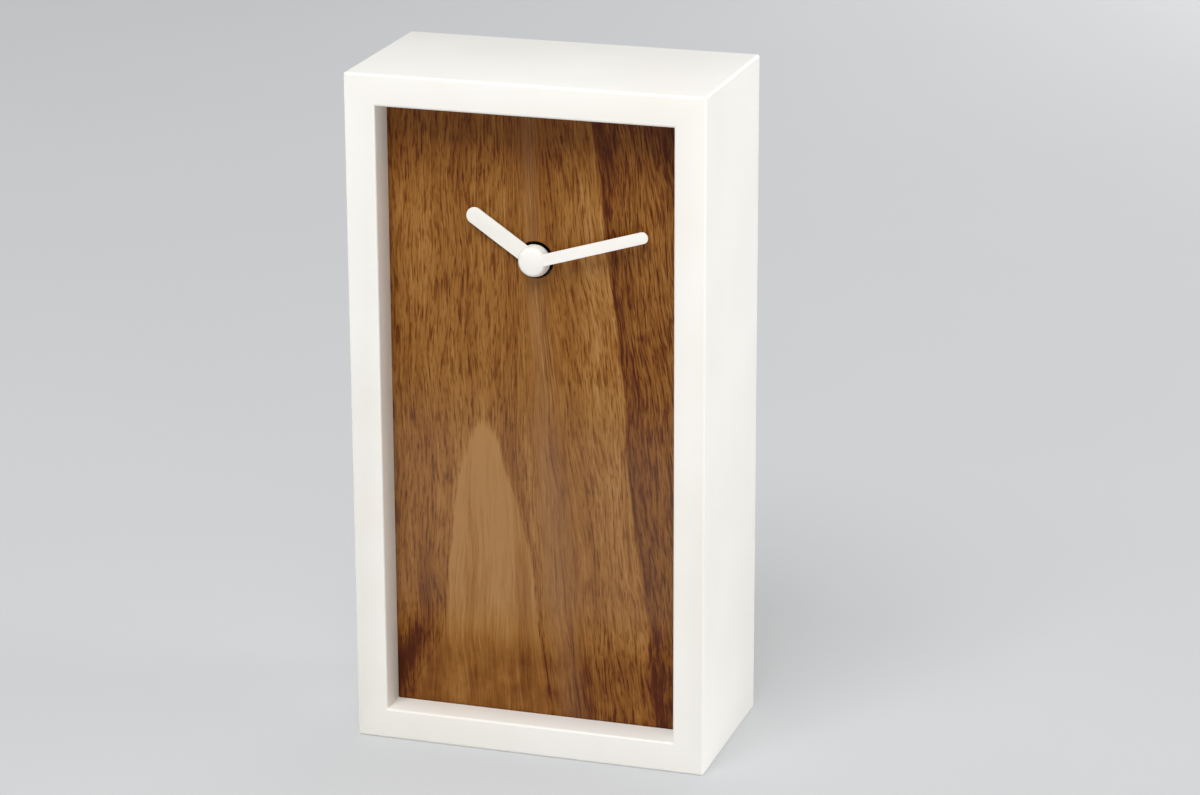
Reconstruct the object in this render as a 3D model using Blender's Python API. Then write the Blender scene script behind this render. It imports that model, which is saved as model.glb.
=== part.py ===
"""A desk clock: a white box case, a walnut dial, two baton hands and a quartz movement.

The clock stands on Z = 0 and faces -Y, in metres. Every depth below is counted from the plane of
the case's front edge, which is where each object has its own zero.
"""
import math

import bmesh
import bpy
from mathutils import Vector
from mathutils.geometry import tessellate_polygon

# Case
CASE_HEIGHT = 0.200
CASE_WIDTH = 0.1057
CASE_DEPTH = 0.0551
LIP_WIDTH = 0.0092
WALL_THICKNESS = 0.006
EDGE_ROUNDING = 0.0008
EDGE_ROUNDING_STEPS = 3

# Gaps between pieces that touch, and between a turning piece and what carries it
SEAT_GAP = 0.0003
RUNNING_GAP = 0.0002
PASSING_GAP = 0.0006

# Dial and what holds it in the case
DIAL_RECESS = 0.0102
DIAL_THICKNESS = 0.0025
DIAL_HOLE_RADIUS = 0.0053
HUB_DROP = 0.0529
BOARD_THICKNESS = 0.003
BLOCK_SIDE = 0.010
BLOCK_LENGTH = 0.012
WASHER_THICKNESS = 0.001
WASHER_RIM = 0.004
NUT_THICKNESS = 0.0017

# Hands
HUB_FACE_RADIUS = 0.0036
HUB_FOOT_RADIUS = 0.0044
HUB_EDGE_BREAK = 0.0001
HUB_EDGE_DEPTH = 0.00015
HAND_THICKNESS = 0.0004
MINUTE_HAND_LENGTH = 0.0357
MINUTE_HAND_WIDTH = 0.00334
MINUTE_BOSS_LENGTH = 0.0016
HOUR_HAND_LENGTH = 0.0236
HOUR_HAND_WIDTH = 0.0049
HOUR_RING_RADIUS = 0.0046
HOUR_BOSS_LENGTH = 0.0007
MINUTE_HAND_ANGLE = math.radians(73.1)
HOUR_HAND_ANGLE = math.radians(304.05)

# Shafts at the centre of the dial
MINUTE_ARBOR_RADIUS = 0.0016
MINUTE_TAIL_RADIUS = 0.0012
HOUR_PIPE_WALL = 0.0006
STEM_WALL = 0.00115
PIVOT_RADIUS = 0.0004
SECONDS_ARBOR_RADIUS = 0.0006

# Movement housing
HOUSING_WALL = 0.0015
HOUSING_PLATE = 0.0012
HOUSING_CORNER = 0.003
MID_PLATE_THICKNESS = 0.001
BAY_RIB = 0.001
BOSS_WALL = 0.0007
WINDOW_LIP = 0.00025

# Wheels and pinions, as tooth counts
WHEEL_THICKNESS = 0.001
ROTOR_PINION_TEETH = 8
INTERMEDIATE_TEETH = 40
INTERMEDIATE_PINION_TEETH = 8
SECONDS_TEETH = 48
SECONDS_PINION_TEETH = 8
THIRD_TEETH = 60
THIRD_PINION_TEETH = 8
CENTRE_TEETH = 64
CANNON_TEETH = 12
MINUTE_WORK_TEETH = 36
MINUTE_WORK_PINION_TEETH = 10
HOUR_TEETH = 40
ADDENDUM_SHARE = 0.7
DEDENDUM_SHARE = 1.15
TIP_WIDTH_SHARE = 0.18
ROOT_WIDTH_SHARE = 0.42

# Where the arbors stand round the centre
THIRD_DISTANCE = 0.0096
THIRD_ANGLE = math.radians(315)
INTERMEDIATE_DISTANCE = 0.007
ROTOR_DISTANCE = 0.006
MINUTE_WORK_ANGLE = math.radians(80)

# Setting knob at the back
KNOB_ARBOR_RADIUS = 0.0009
KNOB_RADIUS = 0.0045
KNOB_THICKNESS = 0.0035
KNOB_RIB_HEIGHT = 0.0004
KNOB_RIBS = 18
KNOB_RIB_SHARE = 0.5

# Stepping motor
MAGNET_RADIUS = 0.0029
MAGNET_THICKNESS = 0.0012
ROTOR_BODY_RADIUS = 0.0007
STATOR_GAP = 0.0004
STATOR_THICKNESS = 0.001
STATOR_RIM = 0.0009
STATOR_HALF_SPAN = 0.012
STATOR_LEG_WIDTH = 0.0035
CORE_WIDTH = 0.0024
CORE_THICKNESS = 0.001
BOBBIN_WALL = 0.0004
BOBBIN_FLANGE = 0.0008
BOBBIN_HALF_SIDE = 0.0029
WINDING_INSET = 0.0002
WINDING_CORNER = 0.001

# Circuit board
BOARD_EDGE_GAP = 0.0008
CIRCUIT_THICKNESS = 0.0006
CHIP_RADIUS = 0.003
CHIP_THICKNESS = 0.001
CRYSTAL_RADIUS = 0.001
CRYSTAL_LENGTH = 0.006

# Battery and its contacts
BATTERY_RADIUS = 0.0071
BATTERY_LENGTH = 0.0505
BATTERY_NUB_RADIUS = 0.00275
BATTERY_NUB_LENGTH = 0.0012
SLEEVE_THICKNESS = 0.0003
CONTACT_THICKNESS = 0.0003
CONTACT_WIDTH = 0.003
CONTACT_DROP = 0.0105
CONTACT_TAB = 0.004

# How finely round outlines are drawn
HUB_SIDES = 40
ROUND_SIDES = 28
BATTERY_SIDES = 32
ARBOR_SIDES = 12
CORNER_STEPS = 4
SMOOTH_ANGLE = math.radians(35)
SAME_PLACE = 0.000001

# Height of the hands' centre, which keeps its drop from the case's top
HUB_HEIGHT = CASE_HEIGHT - HUB_DROP

# Depths of the stack from the lip's back to the back of the movement
LIP_DEPTH = DIAL_RECESS - SEAT_GAP
DIAL_BACK = DIAL_RECESS + DIAL_THICKNESS
BOARD_FRONT = DIAL_BACK + SEAT_GAP
BOARD_BACK = BOARD_FRONT + BOARD_THICKNESS
WASHER_FRONT = BOARD_BACK + SEAT_GAP
WASHER_BACK = WASHER_FRONT + WASHER_THICKNESS
HOUSING_FRONT = WASHER_BACK + SEAT_GAP
PLATE_BACK = HOUSING_FRONT + HOUSING_PLATE
LAYER_PITCH = WHEEL_THICKNESS + PASSING_GAP
HOUR_LAYER = PLATE_BACK + PASSING_GAP
CANNON_LAYER = HOUR_LAYER + LAYER_PITCH
CENTRE_LAYER = CANNON_LAYER + LAYER_PITCH
THIRD_LAYER = CENTRE_LAYER + LAYER_PITCH
MID_PLATE_FRONT = THIRD_LAYER + LAYER_PITCH
MID_PLATE_BACK = MID_PLATE_FRONT + MID_PLATE_THICKNESS
SECONDS_LAYER = MID_PLATE_BACK + PASSING_GAP
INTERMEDIATE_LAYER = SECONDS_LAYER + LAYER_PITCH
TRAIN_BACK = INTERMEDIATE_LAYER + WHEEL_THICKNESS
STATOR_FRONT = MID_PLATE_BACK + SEAT_GAP
STATOR_BACK = STATOR_FRONT + STATOR_THICKNESS
CORE_FRONT = STATOR_BACK + SEAT_GAP
CORE_MIDDLE = CORE_FRONT + CORE_THICKNESS / 2
REAR_INSIDE = max(CORE_MIDDLE + BOBBIN_HALF_SIDE + SEAT_GAP, TRAIN_BACK + 2 * PASSING_GAP)
REAR_OUTSIDE = REAR_INSIDE + HOUSING_PLATE
SEAM_FRONT = (MID_PLATE_FRONT + MID_PLATE_BACK - SEAT_GAP) / 2
SEAM_BACK = SEAM_FRONT + SEAT_GAP
CIRCUIT_BACK = STATOR_FRONT + CIRCUIT_THICKNESS
KNOB_FRONT = REAR_OUTSIDE + PASSING_GAP
KNOB_BACK = KNOB_FRONT + KNOB_THICKNESS

# Radii of the concentric shafts, from the inside out
HOUR_PIPE_BORE = MINUTE_ARBOR_RADIUS + SEAT_GAP
HOUR_PIPE_RADIUS = HOUR_PIPE_BORE + HOUR_PIPE_WALL
STEM_BORE = HOUR_PIPE_RADIUS + SEAT_GAP
STEM_RADIUS = STEM_BORE + STEM_WALL
STEM_CLEARANCE_RADIUS = STEM_RADIUS + SEAT_GAP

# Depths of the hands, which sit just in front of the dial
HOUR_HAND_BACK = DIAL_RECESS - SEAT_GAP
HOUR_ARM_BACK = HOUR_HAND_BACK - HOUR_BOSS_LENGTH
HOUR_HAND_FRONT = HOUR_ARM_BACK - HAND_THICKNESS
MINUTE_BOSS_BACK = HOUR_HAND_FRONT - SEAT_GAP
MINUTE_HAND_BACK = MINUTE_BOSS_BACK - MINUTE_BOSS_LENGTH
MINUTE_HAND_FRONT = MINUTE_HAND_BACK - HAND_THICKNESS
HUB_FRONT = MINUTE_HAND_FRONT - HUB_EDGE_DEPTH

# Movement housing, wide enough for the battery and its two contacts
HOUSING_SIDE = BATTERY_LENGTH + 2 * (CONTACT_THICKNESS + 2 * SEAT_GAP) + 2 * HOUSING_WALL
CAVITY_SIDE = HOUSING_SIDE - 2 * HOUSING_WALL
CAVITY_BOTTOM = -CAVITY_SIDE / 2
BAY_TOP = CAVITY_BOTTOM + 2 * (BATTERY_RADIUS + SEAT_GAP)
RIB_TOP = BAY_TOP + BAY_RIB
RIB_HALF_LENGTH = CAVITY_SIDE / 2 - CONTACT_THICKNESS - 3 * SEAT_GAP

# Places of the arbors, as X and Z from the centre of the dial
CENTRE = (0, 0)


def around(distance, angle, start=CENTRE):
    """A place at a distance and a clock angle from another."""
    return (start[0] + distance * math.sin(angle), start[1] + distance * math.cos(angle))


def module_of(distance, teeth, other_teeth):
    """The tooth size that lets two wheels mesh at a distance."""
    return 2 * distance / (teeth + other_teeth)


def tip_radius(teeth, module):
    """The radius over the tooth tips of a wheel."""
    return (teeth / 2 + ADDENDUM_SHARE) * module


CENTRE_MODULE = module_of(THIRD_DISTANCE, CENTRE_TEETH, THIRD_PINION_TEETH)
THIRD_MODULE = module_of(THIRD_DISTANCE, THIRD_TEETH, SECONDS_PINION_TEETH)
SECONDS_MODULE = module_of(INTERMEDIATE_DISTANCE, SECONDS_TEETH, INTERMEDIATE_PINION_TEETH)
ROTOR_MODULE = module_of(ROTOR_DISTANCE, INTERMEDIATE_TEETH, ROTOR_PINION_TEETH)
MINUTE_WORK_DISTANCE = tip_radius(CENTRE_TEETH, CENTRE_MODULE) + KNOB_ARBOR_RADIUS + SEAT_GAP
CANNON_MODULE = module_of(MINUTE_WORK_DISTANCE, CANNON_TEETH, MINUTE_WORK_TEETH)
HOUR_MODULE = module_of(MINUTE_WORK_DISTANCE, HOUR_TEETH, MINUTE_WORK_PINION_TEETH)

THIRD_PLACE = around(THIRD_DISTANCE, THIRD_ANGLE)
INTERMEDIATE_PLACE = around(INTERMEDIATE_DISTANCE, 0)
ROTOR_PLACE = around(ROTOR_DISTANCE, 0, INTERMEDIATE_PLACE)
MINUTE_WORK_PLACE = around(MINUTE_WORK_DISTANCE, MINUTE_WORK_ANGLE)

# Stepping motor, measured from the rotor
STATOR_HOLE = MAGNET_RADIUS + STATOR_GAP
STATOR_BOTTOM = ROTOR_PLACE[1] - STATOR_HOLE - STATOR_RIM
STATOR_TOP = ROTOR_PLACE[1] + STATOR_HOLE + STATOR_RIM
COIL_HEIGHT = STATOR_TOP + PASSING_GAP + BOBBIN_HALF_SIDE
LEG_TOP = COIL_HEIGHT + CORE_WIDTH / 2 + SEAT_GAP
BOBBIN_HALF_LENGTH = STATOR_HALF_SPAN - STATOR_LEG_WIDTH - STATOR_GAP


def circle(radius, sides, place=CENTRE):
    """A round outline."""
    return tuple(around(radius, 2 * math.pi * side / sides, place) for side in range(sides))


def rectangle(left, right, bottom, top):
    """A square-cornered outline."""
    return ((left, bottom), (left, top), (right, top), (right, bottom))


def rounded_rectangle(half_width, half_height, radius, place=CENTRE):
    """An outline with round corners."""
    outline = []
    for quarter, (side_x, side_z) in enumerate(((1, 1), (1, -1), (-1, -1), (-1, 1))):
        corner = (place[0] + side_x * (half_width - radius), place[1] + side_z * (half_height - radius))
        for step in range(CORNER_STEPS + 1):
            angle = math.pi / 2 * (quarter + step / CORNER_STEPS)
            outline.append(around(radius, angle, corner))
    return tuple(outline)


def gear(teeth, module, tooth_angle):
    """A toothed outline with one tooth at a clock angle."""
    pitch = 2 * math.pi / teeth
    tip = tip_radius(teeth, module)
    root = (teeth / 2 - DEDENDUM_SHARE) * module
    flanks = (
        (root, -ROOT_WIDTH_SHARE), (tip, -TIP_WIDTH_SHARE), (tip, TIP_WIDTH_SHARE), (root, ROOT_WIDTH_SHARE),
    )
    outline = []
    for tooth in range(teeth):
        for radius, side_share in flanks:
            outline.append(around(radius, tooth_angle + (tooth + side_share / 2) * pitch))
    return tuple(outline)


def gap_angle(teeth, angle):
    """The tooth angle that puts a gap on the side that faces back along a clock angle."""
    return angle + math.pi + math.pi / teeth


def keyhole(hub_radius, length, width):
    """A baton with a round end on a round hub, pointing straight up."""
    half_width = width / 2
    shoulder = math.asin(half_width / hub_radius)
    outline = []
    for step in range(HUB_SIDES + 1):
        outline.append(around(hub_radius, shoulder + (2 * math.pi - 2 * shoulder) * step / HUB_SIDES))
    tip_steps = HUB_SIDES // 2
    for step in range(tip_steps + 1):
        angle = -math.pi / 2 + math.pi * step / tip_steps
        outline.append(around(half_width, angle, (0, length - half_width)))
    return tuple(outline)


def ribbed_circle(radius, rib_height, ribs, rib_share):
    """A round outline with square ribs, as on a finger knob."""
    pitch = 2 * math.pi / ribs
    low = radius - rib_height
    corners = ((low, -rib_share), (radius, -rib_share), (radius, rib_share), (low, rib_share))
    outline = []
    for rib in range(ribs):
        for reach, side_share in corners:
            outline.append(around(reach, (rib + side_share / 2) * pitch))
    return tuple(outline)


def material(name, colour, roughness, metallic=0.0):
    """A plain finish with a colour in linear values."""
    finish = bpy.data.materials.new(name)
    finish.use_nodes = True
    shader = finish.node_tree.nodes["Principled BSDF"]
    shader.inputs["Base Color"].default_value = (*colour, 1)
    shader.inputs["Roughness"].default_value = roughness
    shader.inputs["Metallic"].default_value = metallic
    finish.diffuse_color = (*colour, 1)
    return finish


def surrounds(loop, other):
    """Whether a loop runs round another that it doesn't cross, by the crossings along a ray."""
    x, z = other[0]
    crossings = 0
    for (from_x, from_z), (to_x, to_z) in zip(loop, loop[1:] + loop[:1]):
        if (from_z > z) != (to_z > z) and x < from_x + (to_x - from_x) * (z - from_z) / (to_z - from_z):
            crossings += 1
    return crossings % 2 == 1


def faces_with_holes(loops):
    """Groups loops into faces: each outline with the holes that lie directly inside it."""
    levels = {loop: sum(surrounds(other, loop) for other in loops if other != loop) for loop in loops}
    for outline in loops:
        if levels[outline] % 2 == 0:
            hole_level = levels[outline] + 1
            holes = [loop for loop in loops if levels[loop] == hole_level and surrounds(outline, loop)]
            yield [outline, *holes]


def stack_layers(start, layers):
    """Stacks flat layers along Y into one closed solid.

    A layer is (loops, end): its outline and holes, and the depth at which it ends. A loop that two
    neighbouring layers share runs on as one wall. Any other loop ends in a step or an end face. A
    layer with sloping walls is (loops, end, end_loops), with as many points in each end loop.
    """
    shape = bmesh.new()
    rings = {}

    def ring(loop, depth):
        if (loop, depth) not in rings:
            rings[loop, depth] = [shape.verts.new((x, depth, z)) for x, z in loop]
        return rings[loop, depth]

    def cover(loops, depth):
        for face_loops in faces_with_holes(loops):
            corners = [corner for loop in face_loops for corner in ring(loop, depth)]
            flat_loops = [[Vector((x, z, 0)) for x, z in loop] for loop in face_loops]
            for triangle in tessellate_polygon(flat_loops):
                shape.faces.new([corners[index] for index in triangle])

    near = start
    previous = []
    for loops, far, *sloped in layers:
        end_loops = sloped[0] if sloped else loops
        cover([loop for loop in (*previous, *loops) if (loop in previous) != (loop in loops)], near)
        for loop, end_loop in zip(loops, end_loops):
            front_ring = ring(loop, near)
            back_ring = ring(end_loop, far)
            for index in range(len(loop)):
                following = (index + 1) % len(loop)
                wall = (front_ring[index], front_ring[following], back_ring[following], back_ring[index])
                shape.faces.new(wall)
        near = far
        previous = end_loops
    cover(previous, near)
    bmesh.ops.recalc_face_normals(shape, faces=shape.faces)
    return shape


def finished(name, shape, finish, place=CENTRE, depth=0, turn=(0, 0, 0)):
    """Turns a shape into a named object whose origin is on its own axis."""
    mesh = bpy.data.meshes.new(name)
    shape.to_mesh(mesh)
    shape.free()
    mesh.shade_smooth()
    mesh.set_sharp_from_angle(angle=SMOOTH_ANGLE)
    mesh.materials.append(finish)
    piece = bpy.data.objects.new(name, mesh)
    piece.location = (place[0], depth - CASE_DEPTH / 2, HUB_HEIGHT + place[1])
    piece.rotation_euler = turn
    bpy.context.collection.objects.link(piece)
    return piece


def lies_on(corner, outline):
    """Whether a corner lies at one of an outline's points."""
    return any(math.dist((corner.co.x, corner.co.z), point) < SAME_PLACE for point in outline)


def make_case(white):
    """The seamless case: a tube with a lip round its front and an open back."""
    bottom = -HUB_HEIGHT
    top = CASE_HEIGHT - HUB_HEIGHT
    half_width = CASE_WIDTH / 2
    outside = rectangle(-half_width, half_width, bottom, top)
    opening_half = half_width - LIP_WIDTH
    opening = rectangle(-opening_half, opening_half, bottom + LIP_WIDTH, top - LIP_WIDTH)
    cavity_half = half_width - WALL_THICKNESS
    cavity = rectangle(-cavity_half, cavity_half, bottom + WALL_THICKNESS, top - WALL_THICKNESS)
    shape = stack_layers(0, [((outside, opening), LIP_DEPTH), ((outside, cavity), CASE_DEPTH)])
    rounded = []
    for edge in shape.edges:
        is_sharp = edge.calc_face_angle() > SMOOTH_ANGLE
        on_outside = all(lies_on(end, outside) for end in edge.verts)
        on_opening = all(lies_on(end, opening) for end in edge.verts)
        starts_in_front = min(end.co.y for end in edge.verts) < LIP_DEPTH / 2
        if is_sharp and (on_outside or (on_opening and starts_in_front)):
            rounded.append(edge)
    bmesh.ops.bevel(
        shape, geom=rounded, offset=EDGE_ROUNDING, segments=EDGE_ROUNDING_STEPS, profile=0.5, affect="EDGES",
    )
    finished("case_body", shape, white)


def make_dial(walnut):
    """The walnut dial, which lies behind the lip and fills the case."""
    half_width = CASE_WIDTH / 2 - WALL_THICKNESS - SEAT_GAP
    bottom = WALL_THICKNESS + SEAT_GAP - HUB_HEIGHT
    top = CASE_HEIGHT - WALL_THICKNESS - SEAT_GAP - HUB_HEIGHT
    panel = rectangle(-half_width, half_width, bottom, top)
    hole = circle(DIAL_HOLE_RADIUS, HUB_SIDES)
    finished("dial_panel", stack_layers(DIAL_RECESS, [((panel, hole), DIAL_BACK)]), walnut)


def make_board(plywood):
    """The backing board that carries the movement."""
    half_width = CASE_WIDTH / 2 - WALL_THICKNESS - SEAT_GAP
    bottom = WALL_THICKNESS + SEAT_GAP - HUB_HEIGHT
    top = CASE_HEIGHT - WALL_THICKNESS - SEAT_GAP - HUB_HEIGHT
    panel = rectangle(-half_width, half_width, bottom, top)
    hole = circle(STEM_CLEARANCE_RADIUS, ROUND_SIDES)
    finished("backing_board", stack_layers(BOARD_FRONT, [((panel, hole), BOARD_BACK)]), plywood)


def make_corner_blocks(beech):
    """Four blocks glued into the corners behind the board."""
    outer_x = CASE_WIDTH / 2 - WALL_THICKNESS - SEAT_GAP
    inner_x = outer_x - BLOCK_SIDE
    low = WALL_THICKNESS + SEAT_GAP - HUB_HEIGHT
    high = CASE_HEIGHT - WALL_THICKNESS - SEAT_GAP - HUB_HEIGHT
    front = BOARD_BACK + SEAT_GAP
    for level, bottom, top in (("lower", low, low + BLOCK_SIDE), ("upper", high - BLOCK_SIDE, high)):
        for side, left, right in (("left", -outer_x, -inner_x), ("right", inner_x, outer_x)):
            block = rectangle(left, right, bottom, top)
            shape = stack_layers(front, [((block,), front + BLOCK_LENGTH)])
            finished(f"corner_block_{level}_{side}", shape, beech)


def make_stem_fixings(black_metal, rubber):
    """The ring nut in the dial's hole and the rubber washer behind the board."""
    bore = circle(STEM_CLEARANCE_RADIUS, ROUND_SIDES)
    nut = circle(DIAL_HOLE_RADIUS - SEAT_GAP, HUB_SIDES)
    nut_front = BOARD_FRONT - SEAT_GAP - NUT_THICKNESS
    finished("centre_nut", stack_layers(nut_front, [((nut, bore), BOARD_FRONT - SEAT_GAP)]), black_metal)
    washer = circle(STEM_CLEARANCE_RADIUS + WASHER_RIM, ROUND_SIDES)
    finished("rubber_washer", stack_layers(WASHER_FRONT, [((washer, bore), WASHER_BACK)]), rubber)


def make_minute_hand(white):
    """The minute hand, one moulding whose closed hub widens towards the dial."""
    edge = circle(HUB_FACE_RADIUS - HUB_EDGE_BREAK, HUB_SIDES)
    hand = keyhole(HUB_FACE_RADIUS, MINUTE_HAND_LENGTH, MINUTE_HAND_WIDTH)
    shoulder = circle(HUB_FACE_RADIUS - HUB_EDGE_BREAK / 2, HUB_SIDES)
    foot = circle(HUB_FOOT_RADIUS, HUB_SIDES)
    socket = circle(MINUTE_ARBOR_RADIUS + SEAT_GAP, ARBOR_SIDES * 2)
    shape = stack_layers(HUB_FRONT, [
        ((edge,), MINUTE_HAND_FRONT),
        ((hand,), MINUTE_HAND_BACK),
        ((shoulder, socket), MINUTE_BOSS_BACK, (foot, socket)),
    ])
    finished("minute_hand", shape, white, turn=(0, MINUTE_HAND_ANGLE, 0))


def make_hour_hand(white):
    """The hour hand, a flat baton whose collar sits on the end of the hour pipe."""
    hand = keyhole(HOUR_RING_RADIUS, HOUR_HAND_LENGTH, HOUR_HAND_WIDTH)
    collar = circle(HOUR_RING_RADIUS - HUB_EDGE_BREAK, HUB_SIDES)
    hole = circle(HOUR_PIPE_RADIUS + SEAT_GAP, ARBOR_SIDES * 2)
    shape = stack_layers(HOUR_HAND_FRONT, [
        ((hand, hole), HOUR_ARM_BACK), ((collar, hole), HOUR_HAND_BACK),
    ])
    finished("hour_hand", shape, white, turn=(0, HOUR_HAND_ANGLE, 0))


def make_minute_arbor(brass):
    """The minute shaft with the cannon pinion, and a bore behind for the seconds arbor."""
    shaft = circle(MINUTE_ARBOR_RADIUS, ARBOR_SIDES * 2)
    pinion = gear(CANNON_TEETH, CANNON_MODULE, MINUTE_WORK_ANGLE)
    tail = circle(MINUTE_TAIL_RADIUS, ARBOR_SIDES)
    bore = circle(PIVOT_RADIUS + RUNNING_GAP, ARBOR_SIDES)
    shape = stack_layers(MINUTE_HAND_BACK + SEAT_GAP, [
        ((shaft,), CANNON_LAYER),
        ((pinion,), CANNON_LAYER + WHEEL_THICKNESS),
        ((tail,), CENTRE_LAYER + SEAT_GAP),
        ((tail, bore), THIRD_LAYER - SEAT_GAP),
    ])
    finished("minute_arbor", shape, brass)


def make_hour_wheel(nylon):
    """The hour wheel on its long pipe."""
    pipe = circle(HOUR_PIPE_RADIUS, ARBOR_SIDES * 2)
    bore = circle(HOUR_PIPE_BORE, ARBOR_SIDES * 2)
    wheel = gear(HOUR_TEETH, HOUR_MODULE, gap_angle(HOUR_TEETH, MINUTE_WORK_ANGLE + math.pi))
    shape = stack_layers(HOUR_HAND_FRONT + RUNNING_GAP, [
        ((pipe, bore), HOUR_LAYER), ((wheel, bore), HOUR_LAYER + WHEEL_THICKNESS),
    ])
    finished("hour_wheel", shape, nylon)


def make_minute_work(nylon, black):
    """The minute-work wheel, whose arbor runs out at the back to the setting knob."""
    pivot = circle(PIVOT_RADIUS, ARBOR_SIDES)
    pinion = gear(MINUTE_WORK_PINION_TEETH, HOUR_MODULE, MINUTE_WORK_ANGLE + math.pi)
    wheel = gear(MINUTE_WORK_TEETH, CANNON_MODULE, gap_angle(MINUTE_WORK_TEETH, MINUTE_WORK_ANGLE))
    arbor = circle(KNOB_ARBOR_RADIUS, ARBOR_SIDES)
    arbor_back = (KNOB_FRONT + KNOB_BACK) / 2
    shape = stack_layers(PLATE_BACK - HOUSING_PLATE / 2 + RUNNING_GAP, [
        ((pivot,), HOUR_LAYER),
        ((pinion,), CANNON_LAYER),
        ((wheel,), CANNON_LAYER + WHEEL_THICKNESS),
        ((arbor,), arbor_back),
    ])
    finished("minute_work_wheel", shape, nylon, MINUTE_WORK_PLACE)
    grip = ribbed_circle(KNOB_RADIUS, KNOB_RIB_HEIGHT, KNOB_RIBS, KNOB_RIB_SHARE)
    socket = circle(KNOB_ARBOR_RADIUS + SEAT_GAP, ARBOR_SIDES)
    shape = stack_layers(KNOB_FRONT, [((grip, socket), arbor_back + SEAT_GAP), ((grip,), KNOB_BACK)])
    finished("set_knob", shape, black, MINUTE_WORK_PLACE)


def make_centre_wheel(nylon):
    """The centre wheel, which grips the minute arbor's tail and slips when the hands are set."""
    wheel = gear(CENTRE_TEETH, CENTRE_MODULE, THIRD_ANGLE)
    bore = circle(MINUTE_TAIL_RADIUS + SEAT_GAP, ARBOR_SIDES)
    shape = stack_layers(CENTRE_LAYER, [((wheel, bore), CENTRE_LAYER + WHEEL_THICKNESS)])
    finished("centre_wheel", shape, nylon)


def make_third_wheel(nylon):
    """The third wheel and its pinion, between the front plate and the mid plate."""
    pivot = circle(PIVOT_RADIUS, ARBOR_SIDES)
    pinion = gear(THIRD_PINION_TEETH, CENTRE_MODULE, gap_angle(THIRD_PINION_TEETH, THIRD_ANGLE))
    wheel = gear(THIRD_TEETH, THIRD_MODULE, gap_angle(THIRD_TEETH, THIRD_ANGLE))
    shape = stack_layers(PLATE_BACK - HOUSING_PLATE / 2 + RUNNING_GAP, [
        ((pivot,), CENTRE_LAYER),
        ((pinion,), THIRD_LAYER),
        ((wheel,), THIRD_LAYER + WHEEL_THICKNESS),
        ((pivot,), MID_PLATE_BACK - RUNNING_GAP),
    ])
    finished("third_wheel", shape, nylon, THIRD_PLACE)


def make_seconds_wheel(nylon):
    """The seconds wheel behind the mid plate, with its pinion in front of it."""
    pivot = circle(PIVOT_RADIUS, ARBOR_SIDES)
    pinion = gear(SECONDS_PINION_TEETH, THIRD_MODULE, THIRD_ANGLE)
    arbor = circle(SECONDS_ARBOR_RADIUS, ARBOR_SIDES)
    wheel = gear(SECONDS_TEETH, SECONDS_MODULE, 0)
    shape = stack_layers(CENTRE_LAYER + SEAT_GAP + RUNNING_GAP, [
        ((pivot,), THIRD_LAYER),
        ((pinion,), THIRD_LAYER + WHEEL_THICKNESS),
        ((arbor,), SECONDS_LAYER),
        ((wheel,), SECONDS_LAYER + WHEEL_THICKNESS),
        ((pivot,), REAR_INSIDE - RUNNING_GAP),
    ])
    finished("seconds_wheel", shape, nylon)


def make_intermediate_wheel(nylon):
    """The wheel between the motor and the seconds wheel."""
    pivot = circle(PIVOT_RADIUS, ARBOR_SIDES)
    pinion = gear(INTERMEDIATE_PINION_TEETH, SECONDS_MODULE, gap_angle(INTERMEDIATE_PINION_TEETH, 0))
    wheel = gear(INTERMEDIATE_TEETH, ROTOR_MODULE, 0)
    shape = stack_layers(MID_PLATE_FRONT + RUNNING_GAP, [
        ((pivot,), SECONDS_LAYER),
        ((pinion,), INTERMEDIATE_LAYER),
        ((wheel,), TRAIN_BACK),
        ((pivot,), REAR_INSIDE - RUNNING_GAP),
    ])
    finished("intermediate_wheel", shape, nylon, INTERMEDIATE_PLACE)


def make_rotor(nylon, magnet_grey):
    """The motor's rotor: a pinion on its arbor, and a ring magnet round its body."""
    pivot = circle(PIVOT_RADIUS, ARBOR_SIDES)
    body = circle(ROTOR_BODY_RADIUS, ARBOR_SIDES)
    pinion = gear(ROTOR_PINION_TEETH, ROTOR_MODULE, gap_angle(ROTOR_PINION_TEETH, 0))
    magnet_back = STATOR_FRONT + MAGNET_THICKNESS
    shape = stack_layers(MID_PLATE_FRONT + RUNNING_GAP, [
        ((pivot,), STATOR_FRONT),
        ((body,), magnet_back),
        ((pivot,), INTERMEDIATE_LAYER),
        ((pinion,), TRAIN_BACK),
        ((pivot,), REAR_INSIDE - RUNNING_GAP),
    ])
    finished("rotor_pinion", shape, nylon, ROTOR_PLACE)
    ring = circle(MAGNET_RADIUS, ROUND_SIDES)
    bore = circle(ROTOR_BODY_RADIUS + SEAT_GAP, ARBOR_SIDES)
    shape = stack_layers(STATOR_FRONT, [((ring, bore), magnet_back)])
    finished("rotor_magnet", shape, magnet_grey, ROTOR_PLACE)


def make_stator(steel):
    """The soft iron yoke round the rotor, with a leg up to each end of the coil."""
    inner = STATOR_HALF_SPAN - STATOR_LEG_WIDTH
    outline = (
        (-STATOR_HALF_SPAN, STATOR_BOTTOM), (-STATOR_HALF_SPAN, LEG_TOP), (-inner, LEG_TOP),
        (-inner, STATOR_TOP), (inner, STATOR_TOP), (inner, LEG_TOP),
        (STATOR_HALF_SPAN, LEG_TOP), (STATOR_HALF_SPAN, STATOR_BOTTOM),
    )
    hole = circle(STATOR_HOLE, ROUND_SIDES, ROTOR_PLACE)
    finished("stator", stack_layers(STATOR_FRONT, [((outline, hole), STATOR_BACK)]), steel)


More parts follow.
